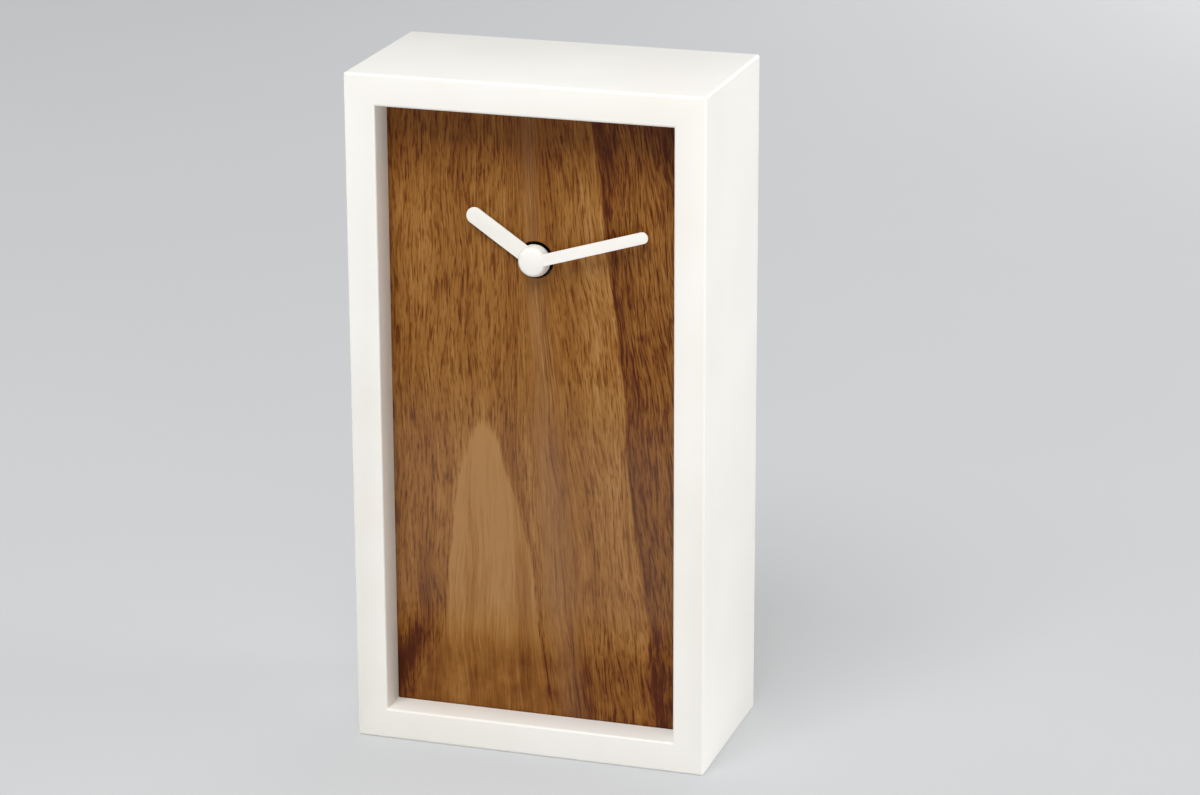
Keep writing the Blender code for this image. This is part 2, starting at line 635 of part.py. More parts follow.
def make_coil(steel, nylon, copper):
    """The coil: an iron core laid on the yoke's legs, its bobbin and the winding."""
    along_x = (0, 0, -math.pi / 2)
    place = (0, COIL_HEIGHT)
    core = rounded_rectangle(CORE_THICKNESS / 2, CORE_WIDTH / 2, SEAT_GAP / 2)
    shape = stack_layers(-STATOR_HALF_SPAN, [((core,), STATOR_HALF_SPAN)])
    finished("coil_core", shape, steel, place, CORE_MIDDLE, along_x)
    bore_x = CORE_THICKNESS / 2 + SEAT_GAP
    bore_z = CORE_WIDTH / 2 + SEAT_GAP
    tube_x = bore_x + BOBBIN_WALL
    tube_z = bore_z + BOBBIN_WALL
    bore = rectangle(-bore_x, bore_x, -bore_z, bore_z)
    tube = rectangle(-tube_x, tube_x, -tube_z, tube_z)
    flange = rectangle(-BOBBIN_HALF_SIDE, BOBBIN_HALF_SIDE, -BOBBIN_HALF_SIDE, BOBBIN_HALF_SIDE)
    inside = BOBBIN_HALF_LENGTH - BOBBIN_FLANGE
    shape = stack_layers(-BOBBIN_HALF_LENGTH, [
        ((flange, bore), -inside), ((tube, bore), inside), ((flange, bore), BOBBIN_HALF_LENGTH),
    ])
    finished("coil_bobbin", shape, nylon, place, CORE_MIDDLE, along_x)
    winding_half = BOBBIN_HALF_SIDE - WINDING_INSET
    winding = rounded_rectangle(winding_half, winding_half, WINDING_CORNER)
    hollow_x = tube_x + SEAT_GAP
    hollow_z = tube_z + SEAT_GAP
    hollow = rectangle(-hollow_x, hollow_x, -hollow_z, hollow_z)
    winding_end = inside - SEAT_GAP
    shape = stack_layers(-winding_end, [((winding, hollow), winding_end)])
    finished("coil_winding", shape, copper, place, CORE_MIDDLE, along_x)


def make_circuit(green, black, steel):
    """The circuit board on the mid plate, with its chip and the quartz crystal's can."""
    left = -CAVITY_SIDE / 2 + CONTACT_THICKNESS + 2 * SEAT_GAP
    right = -STATOR_HALF_SPAN - BOARD_EDGE_GAP
    bottom = RIB_TOP + BOARD_EDGE_GAP
    top = STATOR_TOP
    middle = (left + right) / 2
    board = rectangle(left, right, bottom, top)
    finished("circuit_board", stack_layers(STATOR_FRONT, [((board,), CIRCUIT_BACK)]), green)
    part_front = CIRCUIT_BACK + SEAT_GAP
    chip_place = (middle, (bottom + top) / 2 - CRYSTAL_LENGTH)
    chip = circle(CHIP_RADIUS, ROUND_SIDES)
    shape = stack_layers(part_front, [((chip,), part_front + CHIP_THICKNESS)])
    finished("clock_chip", shape, black, chip_place)
    crystal = circle(CRYSTAL_RADIUS, ARBOR_SIDES)
    shape = stack_layers(-CRYSTAL_LENGTH / 2, [((crystal,), CRYSTAL_LENGTH / 2)])
    crystal_place = (middle, (bottom + top) / 2 + CRYSTAL_LENGTH / 2)
    crystal_depth = part_front + CRYSTAL_RADIUS
    finished("crystal_can", shape, steel, crystal_place, crystal_depth, (math.pi / 2, 0, 0))


def make_battery(steel, sleeve_grey):
    """An AA cell lying across the bottom bay: its steel can and the sleeve round it."""
    along_x = (0, 0, -math.pi / 2)
    place = (0, CAVITY_BOTTOM + SEAT_GAP + BATTERY_RADIUS)
    depth = PLATE_BACK + SEAT_GAP + BATTERY_RADIUS
    sleeve_bore = BATTERY_RADIUS - SLEEVE_THICKNESS
    can = circle(sleeve_bore - SEAT_GAP, BATTERY_SIDES)
    nub = circle(BATTERY_NUB_RADIUS, ROUND_SIDES)
    shoulder = BATTERY_LENGTH / 2 - BATTERY_NUB_LENGTH
    shape = stack_layers(-BATTERY_LENGTH / 2, [((can,), shoulder), ((nub,), BATTERY_LENGTH / 2)])
    finished("battery_can", shape, steel, place, depth, along_x)
    outside = circle(BATTERY_RADIUS, BATTERY_SIDES)
    inside = circle(sleeve_bore, BATTERY_SIDES)
    shape = stack_layers(SEAT_GAP - BATTERY_LENGTH / 2, [((outside, inside), shoulder - SEAT_GAP)])
    finished("battery_sleeve", shape, sleeve_grey, place, depth, along_x)


def make_contacts(spring_steel):
    """The two leaf contacts, which run past the rib's ends to the circuit board."""
    front = CIRCUIT_BACK + SEAT_GAP
    outer = CAVITY_SIDE / 2 - SEAT_GAP
    inner = outer - CONTACT_THICKNESS
    bottom = BAY_TOP - CONTACT_DROP
    tail_bottom = RIB_TOP + 2 * BOARD_EDGE_GAP
    tail_top = tail_bottom + CONTACT_THICKNESS
    circuit_reach = -STATOR_HALF_SPAN - CONTACT_TAB
    reaches = (("contact_negative", -1, inner - CONTACT_TAB), ("contact_positive", 1, circuit_reach))
    for name, side, reach in reaches:
        strip = (
            (side * outer, bottom), (side * outer, tail_top), (side * reach, tail_top),
            (side * reach, tail_bottom), (side * inner, tail_bottom), (side * inner, bottom),
        )
        finished(name, stack_layers(front, [((strip,), front + CONTACT_WIDTH)]), spring_steel)


def make_mid_plate(black):
    """The plate between the two halves of the train, bored for the arbors that cross it."""
    half_width = CAVITY_SIDE / 2 - SEAT_GAP
    outline = rectangle(-half_width, half_width, RIB_TOP + SEAT_GAP, STATOR_TOP)
    holes = [
        circle(SECONDS_ARBOR_RADIUS + RUNNING_GAP, ARBOR_SIDES),
        circle(KNOB_ARBOR_RADIUS + RUNNING_GAP, ARBOR_SIDES, MINUTE_WORK_PLACE),
    ]
    for place in (THIRD_PLACE, INTERMEDIATE_PLACE, ROTOR_PLACE):
        holes.append(circle(PIVOT_RADIUS + RUNNING_GAP, ARBOR_SIDES, place))
    finished("mid_plate", stack_layers(MID_PLATE_FRONT, [((outline, *holes), MID_PLATE_BACK)]), black)


def make_housing(black):
    """The movement's front case with its stem, and the rear cover with the battery's window."""
    outside = rounded_rectangle(HOUSING_SIDE / 2, HOUSING_SIDE / 2, HOUSING_CORNER)
    cavity = rounded_rectangle(CAVITY_SIDE / 2, CAVITY_SIDE / 2, HOUSING_CORNER - HOUSING_WALL)
    rib = rectangle(-RIB_HALF_LENGTH, RIB_HALF_LENGTH, BAY_TOP, RIB_TOP)
    stem = circle(STEM_RADIUS, ROUND_SIDES)
    stem_bore = circle(STEM_BORE, ROUND_SIDES)
    pocket_radius = PIVOT_RADIUS + RUNNING_GAP
    pockets = [circle(pocket_radius, ARBOR_SIDES, place) for place in (THIRD_PLACE, MINUTE_WORK_PLACE)]
    shape = stack_layers(BOARD_FRONT - NUT_THICKNESS, [
        ((stem, stem_bore), HOUSING_FRONT),
        ((outside, stem_bore), PLATE_BACK - HOUSING_PLATE / 2),
        ((outside, stem_bore, *pockets), PLATE_BACK),
        ((outside, cavity, rib), SEAM_FRONT),
    ])
    finished("movement_front_case", shape, black)
    window_half = CAVITY_SIDE / 2 - WINDOW_LIP
    window_bottom = CAVITY_BOTTOM + WINDOW_LIP
    window_centre = (0, (window_bottom + BAY_TOP - WINDOW_LIP) / 2)
    window_half_height = (BAY_TOP - WINDOW_LIP - window_bottom) / 2
    window = rounded_rectangle(window_half, window_half_height, HOUSING_CORNER - HOUSING_WALL, window_centre)
    knob_hole = circle(KNOB_ARBOR_RADIUS + RUNNING_GAP, ARBOR_SIDES, MINUTE_WORK_PLACE)
    bosses = []
    pivots = []
    for place in (CENTRE, INTERMEDIATE_PLACE, ROTOR_PLACE):
        bosses.append(circle(pocket_radius + BOSS_WALL, ARBOR_SIDES, place))
        pivots.append(circle(pocket_radius, ARBOR_SIDES, place))
    shape = stack_layers(SEAM_BACK, [
        ((outside, cavity, rib), TRAIN_BACK + PASSING_GAP),
        ((outside, cavity, rib, *bosses, *pivots), REAR_INSIDE),
        ((outside, window, knob_hole), REAR_OUTSIDE),
    ])
    finished("movement_rear_cover", shape, black)


def make_clock():
    """Builds every piece of the clock with its own finish."""
    make_case(material("case_white", (0.80, 0.78, 0.74), 0.45))
    make_dial(material("dial_walnut", (0.19, 0.09, 0.045), 0.42))
    make_board(material("board_plywood", (0.50, 0.36, 0.22), 0.70))
    make_corner_blocks(material("block_beech", (0.58, 0.42, 0.27), 0.65))
    make_stem_fixings(
        material("nut_black", (0.012, 0.012, 0.013), 0.35, 0.6),
        material("washer_rubber", (0.02, 0.02, 0.02), 0.85),
    )
    make_minute_hand(material("minute_hand_white", (0.82, 0.81, 0.78), 0.35))
    make_hour_hand(material("hour_hand_white", (0.76, 0.75, 0.72), 0.35))
    make_minute_arbor(material("arbor_brass", (0.62, 0.42, 0.16), 0.3, 1.0))
    make_hour_wheel(material("hour_wheel_nylon", (0.78, 0.76, 0.70), 0.4))
    make_minute_work(
        material("minute_work_nylon", (0.75, 0.74, 0.70), 0.4),
        material("knob_black", (0.02, 0.02, 0.022), 0.5),
    )
    make_centre_wheel(material("centre_wheel_nylon", (0.72, 0.71, 0.66), 0.4))
    make_third_wheel(material("third_wheel_nylon", (0.74, 0.72, 0.68), 0.4))
    make_seconds_wheel(material("seconds_wheel_nylon", (0.70, 0.70, 0.66), 0.4))
    make_intermediate_wheel(material("intermediate_nylon", (0.73, 0.73, 0.70), 0.4))
    make_rotor(
        material("rotor_nylon", (0.77, 0.77, 0.74), 0.4),
        material("magnet_grey", (0.09, 0.09, 0.10), 0.45, 0.8),
    )
    make_stator(material("stator_steel", (0.45, 0.45, 0.46), 0.4, 1.0))
    make_coil(
        material("core_steel", (0.42, 0.42, 0.43), 0.4, 1.0),
        material("bobbin_nylon", (0.68, 0.66, 0.60), 0.45),
        material("winding_copper", (0.55, 0.20, 0.08), 0.35, 1.0),
    )
    make_circuit(
        material("circuit_green", (0.02, 0.14, 0.05), 0.45),
        material("chip_black", (0.015, 0.015, 0.015), 0.4),
        material("crystal_steel", (0.60, 0.60, 0.60), 0.3, 1.0),
    )
    make_battery(
        material("battery_steel", (0.55, 0.55, 0.56), 0.3, 1.0),
        material("battery_sleeve_grey", (0.10, 0.10, 0.11), 0.35),
    )
    make_contacts(material("contact_steel", (0.60, 0.59, 0.57), 0.35, 1.0))
    make_mid_plate(material("mid_plate_black", (0.03, 0.03, 0.032), 0.55))
    make_housing(material("housing_black", (0.018, 0.018, 0.02), 0.5))


for scene_object in list(bpy.data.objects):
    bpy.data.objects.remove(scene_object)
make_clock()
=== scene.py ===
# %% [markdown]
# A desk clock with a white case and a walnut dial
#
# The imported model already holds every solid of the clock, each in its place and in metres. This
# lesson dresses it: it rebuilds the pieces that the eye rests on with finer edges, and gives every
# piece, the hidden ones too, the finish of its real material.

# %% Load the fixed frame
import math

import bmesh
import bpy
from mathutils import Matrix, Vector


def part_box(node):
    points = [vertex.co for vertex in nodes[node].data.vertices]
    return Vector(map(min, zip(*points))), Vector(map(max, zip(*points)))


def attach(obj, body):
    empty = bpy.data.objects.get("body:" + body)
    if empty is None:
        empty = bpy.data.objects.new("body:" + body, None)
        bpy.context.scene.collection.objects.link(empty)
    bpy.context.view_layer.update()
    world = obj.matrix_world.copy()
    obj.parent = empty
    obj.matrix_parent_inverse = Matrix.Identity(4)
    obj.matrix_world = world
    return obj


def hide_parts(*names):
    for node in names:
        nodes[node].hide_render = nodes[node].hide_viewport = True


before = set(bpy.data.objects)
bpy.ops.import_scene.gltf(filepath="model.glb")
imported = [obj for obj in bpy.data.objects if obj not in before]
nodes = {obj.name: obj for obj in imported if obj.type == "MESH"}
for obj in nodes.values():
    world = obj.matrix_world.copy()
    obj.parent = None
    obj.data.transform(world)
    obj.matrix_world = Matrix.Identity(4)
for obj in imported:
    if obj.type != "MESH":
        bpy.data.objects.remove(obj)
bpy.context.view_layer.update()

# %% [markdown]
# Small helpers
#
# A colour on a screen is written in hex, but the renderer adds up light, so a hex value has to be
# turned to linear first. Node trees are easier to read when one function adds a node, sets it and
# links it in one line. Both are used for every finish below.

# %% Colours and nodes
MM = 0.001


def linear(hex_colour):
    """An sRGB hex colour as linear red, green, blue and alpha."""
    levels = [int(hex_colour[place:place + 2], 16) / 255 for place in (1, 3, 5)]
    return (*[v / 12.92 if v <= 0.04045 else ((v + 0.055) / 1.055) ** 2.4 for v in levels], 1.0)


def add_node(tree, kind, inputs=None, **settings):
    """Adds a node, with its settings, and sets or links its inputs."""
    node = tree.nodes.new(kind)
    for name, value in settings.items():
        setattr(node, name, value)
    for name, value in (inputs or {}).items():
        if isinstance(value, bpy.types.NodeSocket):
            tree.links.new(value, node.inputs[name])
        else:
            node.inputs[name].default_value = value
    return node


def start_material(name, roughness, metallic=0.0, **sockets):
    """A new material with its even values on the shader's own sockets."""
    finish = bpy.data.materials.new(name)
    finish.use_nodes = True
    tree = finish.node_tree
    shader = tree.nodes["Principled BSDF"]
    shader.inputs["Roughness"].default_value = roughness
    shader.inputs["Metallic"].default_value = metallic
    for socket, value in sockets.items():
        shader.inputs[socket.replace("_", " ").title().replace("Ior", "IOR")].default_value = value
    return finish, tree, shader


def scale_for(size_mm):
    """The texture scale, on coordinates in metres, whose features are about this many millimetres."""
    return 1 / (size_mm * MM)


print("mid walnut in linear light:", [round(v, 3) for v in linear("#835832")[:3]])

# %% [markdown]
# The white case's finish
#
# The case is a cast acrylic and mineral board, the kind used for worktops, milled and sanded until no
# joint shows. Sanding leaves a satin surface: broad soft highlights and no mirror image. The board
# is a warm white, and its tone drifts by a hair over a few centimetres. The sanding scratches are
# finer than a render can show, so they are drawn as a 0.5 mm grain in the gloss and a slight relief.

# %% Sanded solid surface
case_white, tree, shader = start_material("sanded_solid_surface", 0.40, ior=1.49)
place = add_node(tree, "ShaderNodeTexCoord").outputs["Object"]
drift = add_node(tree, "ShaderNodeTexNoise", {"Vector": place, "Scale": scale_for(45), "Detail": 2.0})
tone = add_node(tree, "ShaderNodeValToRGB", {"Fac": drift.outputs["Fac"]})
tone.color_ramp.elements[0].position = 0.35
tone.color_ramp.elements[0].color = linear("#f1efe9")
tone.color_ramp.elements[1].position = 0.65
tone.color_ramp.elements[1].color = linear("#f5f4f0")
tree.links.new(tone.outputs["Color"], shader.inputs["Base Color"])
grain = add_node(tree, "ShaderNodeTexNoise", {"Vector": place, "Scale": scale_for(0.5), "Detail": 3.0})
satin = add_node(tree, "ShaderNodeMapRange", {
    "Value": grain.outputs["Fac"], "To Min": 0.36, "To Max": 0.46})
tree.links.new(satin.outputs["Result"], shader.inputs["Roughness"])
relief = add_node(tree, "ShaderNodeBump", {
    "Height": grain.outputs["Fac"], "Strength": 0.15, "Distance": 0.02 * MM})
tree.links.new(relief.outputs["Normal"], shader.inputs["Normal"])
print("case finish:", case_white.name)

# %% [markdown]
# Walnut, first part: where the grain runs
#
# The dial is one leaf of black walnut, cut nearly through the heart of the log. On the left the grain
# stands upright, and on the right it leans: a fibre there drifts sideways by 19 mm from the bottom to
# the top. Bending the coordinates once, before any band or fibre reads them, makes them all follow
# the same grain. A slow noise also lets the grain wander by up to 1.6 mm. All is in mm.

# %% Straightened grain
BOARD_FOOT, BOARD_HEAD, GRAIN_LEAN, GRAIN_WANDER = 12.0, 190.0, 19.0, 1.6
walnut, tree, shader = start_material("oiled_black_walnut", 0.40, ior=1.47, specular_ior_level=0.2)
place = add_node(tree, "ShaderNodeTexCoord").outputs["Object"]
in_mm = add_node(tree, "ShaderNodeMapping", {"Vector": place, "Scale": (1000, 1000, 1000)}).outputs[0]
axes = add_node(tree, "ShaderNodeSeparateXYZ", {0: in_mm})
across, depth, up = axes.outputs
lean = add_node(tree, "ShaderNodeMapRange", {
    "Value": up, "From Min": BOARD_FOOT, "From Max": BOARD_HEAD, "To Max": GRAIN_LEAN}).outputs[0]
on_the_right = add_node(tree, "ShaderNodeMapRange", {
    "Value": across, "From Min": -12.0, "From Max": 4.0}, interpolation_type="SMOOTHSTEP").outputs[0]
wander_place = add_node(tree, "ShaderNodeMapping", {
    "Vector": in_mm, "Scale": (1 / 16, 1 / 16, 1 / 45)}).outputs[0]
wander = add_node(tree, "ShaderNodeTexNoise", {
    "Vector": wander_place, "Scale": 1.0, "Detail": 2.0, "Roughness": 0.5}).outputs["Fac"]
swing = add_node(tree, "ShaderNodeMapRange", {
    "Value": wander, "From Min": 0.25, "From Max": 0.75, "To Min": -GRAIN_WANDER,
    "To Max": GRAIN_WANDER}).outputs[0]
wandered = add_node(tree, "ShaderNodeMath", {0: across, 1: swing}, operation="ADD").outputs[0]
aside = add_node(
    tree, "ShaderNodeMath", {0: lean, 1: on_the_right, 2: wandered}, operation="MULTIPLY_ADD").outputs[0]
along_grain = add_node(tree, "ShaderNodeCombineXYZ", {0: aside, 1: depth, 2: up}).outputs[0]
print("nodes that straighten the grain:", len(tree.nodes))

# %% [markdown]
# Walnut, second part: the light arch
#
# Where the saw left the heart, one pale ring shows as an arch, 97 mm up and 16.5 mm left of the middle.
# A ring there is close to a parabola with a blunt top, so a power of the distance from the arch's
# axis and the height together give the ring's size, and the arch is all wood inside one ring. Its
# left foot flares out near the bottom edge. A dark line runs outside its right flank, and a dark
# streak follows its left foot.

# %% Arch
ARCH_TOP, BLUNTNESS = 96.5, 2.4
axis_place = add_node(tree, "ShaderNodeMapRange", {
    "Value": up, "From Min": BOARD_FOOT, "From Max": ARCH_TOP, "To Min": 12.7, "To Max": 16.5}).outputs[0]
from_axis = add_node(tree, "ShaderNodeMath", {0: wandered, 1: axis_place}, operation="ADD").outputs[0]
on_the_left = add_node(tree, "ShaderNodeMapRange", {
    "Value": from_axis, "From Min": 0.0, "From Max": -10.0}).outputs[0]
flare = add_node(tree, "ShaderNodeMapRange", {
    "Value": up, "From Min": 40.0, "From Max": BOARD_FOOT, "To Min": 0.0, "To Max": -0.38},
    interpolation_type="SMOOTHSTEP").outputs[0]
squeeze = add_node(
    tree, "ShaderNodeMath", {0: flare, 1: on_the_left, 2: 1.0}, operation="MULTIPLY_ADD").outputs[0]
squeezed = add_node(tree, "ShaderNodeMath", {0: from_axis, 1: squeeze}, operation="MULTIPLY").outputs[0]
off_axis = add_node(tree, "ShaderNodeMath", {0: squeezed}, operation="ABSOLUTE").outputs[0]
off_axis = add_node(tree, "ShaderNodeMath", {0: off_axis, 1: BLUNTNESS}, operation="POWER").outputs[0]
height_share = add_node(
    tree, "ShaderNodeMath", {0: up, 1: 9.2, 2: 184.0}, operation="MULTIPLY_ADD").outputs[0]
ring = add_node(tree, "ShaderNodeMath", {0: off_axis, 1: height_share}, operation="ADD").outputs[0]
ring = add_node(tree, "ShaderNodeMath", {0: ring, 1: 1 / BLUNTNESS}, operation="POWER").outputs[0]
arch = add_node(tree, "ShaderNodeMapRange", {
    "Value": ring, "From Min": 18.5, "From Max": 18.15}, interpolation_type="SMOOTHSTEP").outputs[0]
arch_fade = add_node(tree, "ShaderNodeMapRange", {
    "Value": up, "From Min": 22.0, "From Max": 62.0, "To Min": 0.2, "To Max": 1.0}).outputs[0]


def near(value, centre, outer, inner):
    """One within the inner distance of a centre, fading to nought at the outer distance."""
    off = add_node(tree, "ShaderNodeMath", {0: value, 1: centre}, operation="SUBTRACT").outputs[0]
    off = add_node(tree, "ShaderNodeMath", {0: off}, operation="ABSOLUTE").outputs[0]
    return add_node(tree, "ShaderNodeMapRange", {
        "Value": off, "From Min": outer, "From Max": inner}, interpolation_type="SMOOTHSTEP").outputs[0]


flank_line = near(ring, 19.3, 0.8, 0.1)
foot_streak = near(ring, 23.6, 3.8, 0.4)
print("nodes with the arch:", len(tree.nodes))

# %% [markdown]
# Walnut, third part: bands and clouds
#
# Years of growth differ, which gives bands along the grain, and the heartwood's dye lies in clouds
# and streaks. Three marks are this board's own: a greyish seam that comes down the middle, a tan band
# to the right of it, and a sharp line at 36 mm past which the wood is dark. The foot of the board is
# mottled and darker, partly its own figure and partly painted shade, and the top 30 mm are darker
# with painted shade from the top lip. Each mark is a smooth step across the grain or up the board.
# The rest is noise, stretched along the grain to the sizes that a real board shows.

# %% Bands and clouds
def grain_noise(width_mm, length_mm, shift, detail=3.0, roughness=0.55, distortion=0.0):
    """Noise whose features are so wide across the grain and so long along it."""
    stretched = add_node(tree, "ShaderNodeMapping", {
        "Vector": along_grain, "Location": shift,
        "Scale": (1 / width_mm, 1 / width_mm, 1 / length_mm)}).outputs[0]
    return add_node(tree, "ShaderNodeTexNoise", {
        "Vector": stretched, "Scale": 1.0, "Detail": detail, "Roughness": roughness,
        "Distortion": distortion}).outputs["Fac"]


year_bands = grain_noise(5.5, 400, (2.2, 0, 0.7), 3.0)
clouds = grain_noise(13, 60, (4.7, 0, 2.2), 3.0)
streaks = grain_noise(1.6, 40, (1.3, 0, 0.4), 3.0, 0.6)
seam = near(aside, 11.0, 7.0, 1.0)
mottle = add_node(tree, "ShaderNodeTexNoise", {"Vector": in_mm, "Scale": 1 / 5, "Detail": 3.0}).outputs["Fac"]
# The step over the top 30 mm is painted shade from the top lip.
step = {}
# The foot step marks the mottled darker bottom, partly the board's own figure and partly painted shade.
for name, value, start, end in (
    ("right_flank", from_axis, 3.0, 9.0), ("low_left", up, 70.0, 44.0), ("tan_start", aside, 16.0, 33.0),
    ("tan_end", aside, 36.3, 35.5), ("beyond", aside, 35.5, 36.4), ("edge_end", aside, 44.0, 37.0),
    ("foot", up, 36.0, 24.0), ("lip_shade", up, 158.0, BOARD_HEAD), ("middle_head", up, 118.0, 82.0),
    ("middle_foot", up, 30.0, 48.0),
):
    step[name] = add_node(tree, "ShaderNodeMapRange", {
        "Value": value, "From Min": start, "From Max": end}, interpolation_type="SMOOTHSTEP").outputs[0]
print("nodes with the broad bands:", len(tree.nodes))

# %% [markdown]
# Walnut, fourth part: fibres, flecks and pores
#
# Up close the wood is a bundle of fibres. Each is about 0.03 mm wide, too fine to show, so they are
# drawn as strands half a millimetre wide. Where they dip in and out of the surface they make flecks,
# under 1 mm wide and 8 mm long. The vessels that carried sap are cut open as dark dashes. Real ones
# are up to 0.25 mm wide, and they are drawn 0.36 mm wide and 3 mm long, so that they show. The arch
# has few of either, and the wood round the seam has fewer. The seam has long thin lines, and past the
# sharp line are more dashes, 6.5 mm long.

# %% Fibres, flecks and pores
fibres = grain_noise(0.5, 11, (0, 0, 0), 3.0, 0.65)
dark = {}
for name, noise, start, end in (
    ("flecks", grain_noise(0.72, 8.0, (5.1, 0, 9.3), 2.0, 0.5, 0.25), 0.48, 0.66),
    ("pores", grain_noise(0.36, 3.0, (7.1, 0, 3.3), 1.0, 0.4), 0.56, 0.68),
    ("lines", grain_noise(0.45, 22, (3.9, 0, 1.7), 2.0, 0.5), 0.50, 0.64),
    ("dashes", grain_noise(0.5, 6.5, (8.2, 0, 5.9), 2.0, 0.5), 0.49, 0.62),
):
    dark[name] = add_node(tree, "ShaderNodeMapRange", {
        "Value": noise, "From Min": start, "From Max": end}, interpolation_type="SMOOTHSTEP").outputs[0]
fewer = [add_node(tree, "ShaderNodeMapRange", {
    "Value": mask, "To Min": 1.0, "To Max": least}, interpolation_type="SMOOTHSTEP").outputs[0]
    for mask, least in ((arch, 0.15), (near(aside, 12.0, 9.0, 4.0), 0.45))]
figure = add_node(tree, "ShaderNodeMath", {0: fewer[0], 1: fewer[1]}, operation="MULTIPLY").outputs[0]
seen_pores = add_node(tree, "ShaderNodeMath", {0: dark["pores"], 1: figure}, operation="MULTIPLY").outputs[0]
print("nodes with fibres, flecks and pores:", len(tree.nodes))

# %% [markdown]
# Walnut, last part: from tone to colour
#
# Each pattern adds or takes a share of one tone, and a colour ramp turns the tone into the wood's own
# colours, from a near-black streak to the tan of the arch. A mark is one mask, or several multiplied.
# The seam is also a little greyer, where the dye is thin. The board's middle is greyer too, partly its
# own tone and partly a painted reflection of the satin sheen. Oil gives a satin gloss, which varies a
# little from fibre to fibre.

# %% Tone to colour
noise_shares = ((year_bands, 0.40), (clouds, 0.45), (streaks, 0.42), (fibres, 0.56))
# The darkening over the top 30 mm is painted shade from the top lip.
marks = (
    ((arch, arch_fade), 0.20), ((flank_line, step["right_flank"]), -0.14),
    ((foot_streak, on_the_left, step["low_left"]), -0.34), ((step["tan_start"], step["tan_end"]), 0.10),
    ((step["beyond"],), -0.12), ((step["beyond"], step["edge_end"]), -0.07),
    ((dark["flecks"], figure), -0.30), ((seen_pores,), -0.20), ((dark["dashes"], step["beyond"]), -0.24),
    # At the foot the mottled darkening is partly the board's own figure and partly painted shade.
    ((dark["lines"], near(aside, 13.5, 6.0, 1.5)), -0.26), ((step["foot"],), 0.04),
    ((mottle, step["foot"]), -0.46), ((step["lip_shade"],), -0.20),
)
GROUND = 0.62
tone = GROUND - sum(share for _, share in noise_shares) / 2
for masks, share in tuple(((noise,), share) for noise, share in noise_shares) + marks:
    mark = masks[0]
    for mask in masks[1:]:
        mark = add_node(tree, "ShaderNodeMath", {0: mark, 1: mask}, operation="MULTIPLY").outputs[0]
    tone = add_node(tree, "ShaderNodeMath", {0: mark, 1: share, 2: tone}, operation="MULTIPLY_ADD").outputs[0]
colours = add_node(tree, "ShaderNodeValToRGB", {"Fac": tone})
stops = ((0.0, "#481a02"), (0.22, "#623209"), (0.45, "#804f1b"), (0.65, "#95652e"), (0.85, "#aa7d49"))
ramp = colours.color_ramp
ramp.elements.remove(ramp.elements[1])
for index, (position, hex_colour) in enumerate(stops):
    stop = ramp.elements[0] if index == 0 else ramp.elements.new(position)
    stop.position = position
    stop.color = linear(hex_colour)
# The greying of the board's middle is partly its own tone and partly a painted reflection.
middle = add_node(tree, "ShaderNodeMath", {
    0: step["middle_head"], 1: step["middle_foot"]}, operation="MULTIPLY").outputs[0]
grey_and_sheen = 0.0
for mask, share in ((middle, 0.20), (seam, 0.13)):
    grey_and_sheen = add_node(tree, "ShaderNodeMath", {
        0: mask, 1: share, 2: grey_and_sheen}, operation="MULTIPLY_ADD").outputs[0]
greyed = add_node(tree, "ShaderNodeMix", {
    0: grey_and_sheen, 6: colours.outputs["Color"], 7: linear("#8a6f5b")}, data_type="RGBA").outputs[2]
tree.links.new(greyed, shader.inputs["Base Color"])
satin = add_node(tree, "ShaderNodeMapRange", {"Value": fibres, "To Min": 0.32, "To Max": 0.48})
tree.links.new(satin.outputs[0], shader.inputs["Roughness"])
relief = add_node(
    tree, "ShaderNodeMath", {0: seen_pores, 1: -0.6, 2: fibres}, operation="MULTIPLY_ADD").outputs[0]
relief = add_node(tree, "ShaderNodeBump", {"Height": relief, "Strength": 0.5, "Distance": 0.04 * MM})
tree.links.new(relief.outputs["Normal"], shader.inputs["Normal"])
print("walnut nodes:", len(tree.nodes))

# %% [markdown]
# Plainer finishes
#
# The other pieces share a few families: moulded plastics, metal sheet and plating, and plain pale
# woods. One function makes each family. Its colour, gloss and grain size then say which one it is.
# Real moulding and rolling marks are about a tenth of a millimetre, too fine to show, so they are
# drawn 0.2 to 3 mm wide.

# %% Moulded plastics
def moulded(name, dark, light, roughness, grain_mm, relief_mm, **sockets):
    """A moulded plastic or rubber: an even colour with the mould's fine texture."""
    finish, tree, shader = start_material(name, roughness, **sockets)
    place = add_node(tree, "ShaderNodeTexCoord").outputs["Object"]
    drift = add_node(tree, "ShaderNodeTexNoise", {"Vector": place, "Scale": scale_for(9), "Detail": 2.0})
    tone = add_node(tree, "ShaderNodeValToRGB", {"Fac": drift.outputs["Fac"]})
    tone.color_ramp.elements[0].position = 0.3
    tone.color_ramp.elements[0].color = linear(dark)
    tone.color_ramp.elements[1].position = 0.7
    tone.color_ramp.elements[1].color = linear(light)
    tree.links.new(tone.outputs["Color"], shader.inputs["Base Color"])
    grain = add_node(
        tree, "ShaderNodeTexNoise", {"Vector": place, "Scale": scale_for(grain_mm), "Detail": 2.0})
    gloss = add_node(tree, "ShaderNodeMapRange", {
        "Value": grain.outputs["Fac"], "To Min": roughness - 0.06, "To Max": roughness + 0.06})
    tree.links.new(gloss.outputs[0], shader.inputs["Roughness"])
    relief = add_node(tree, "ShaderNodeBump", {
        "Height": grain.outputs["Fac"], "Strength": 0.4, "Distance": relief_mm * MM})
    tree.links.new(relief.outputs["Normal"], shader.inputs["Normal"])
    return finish


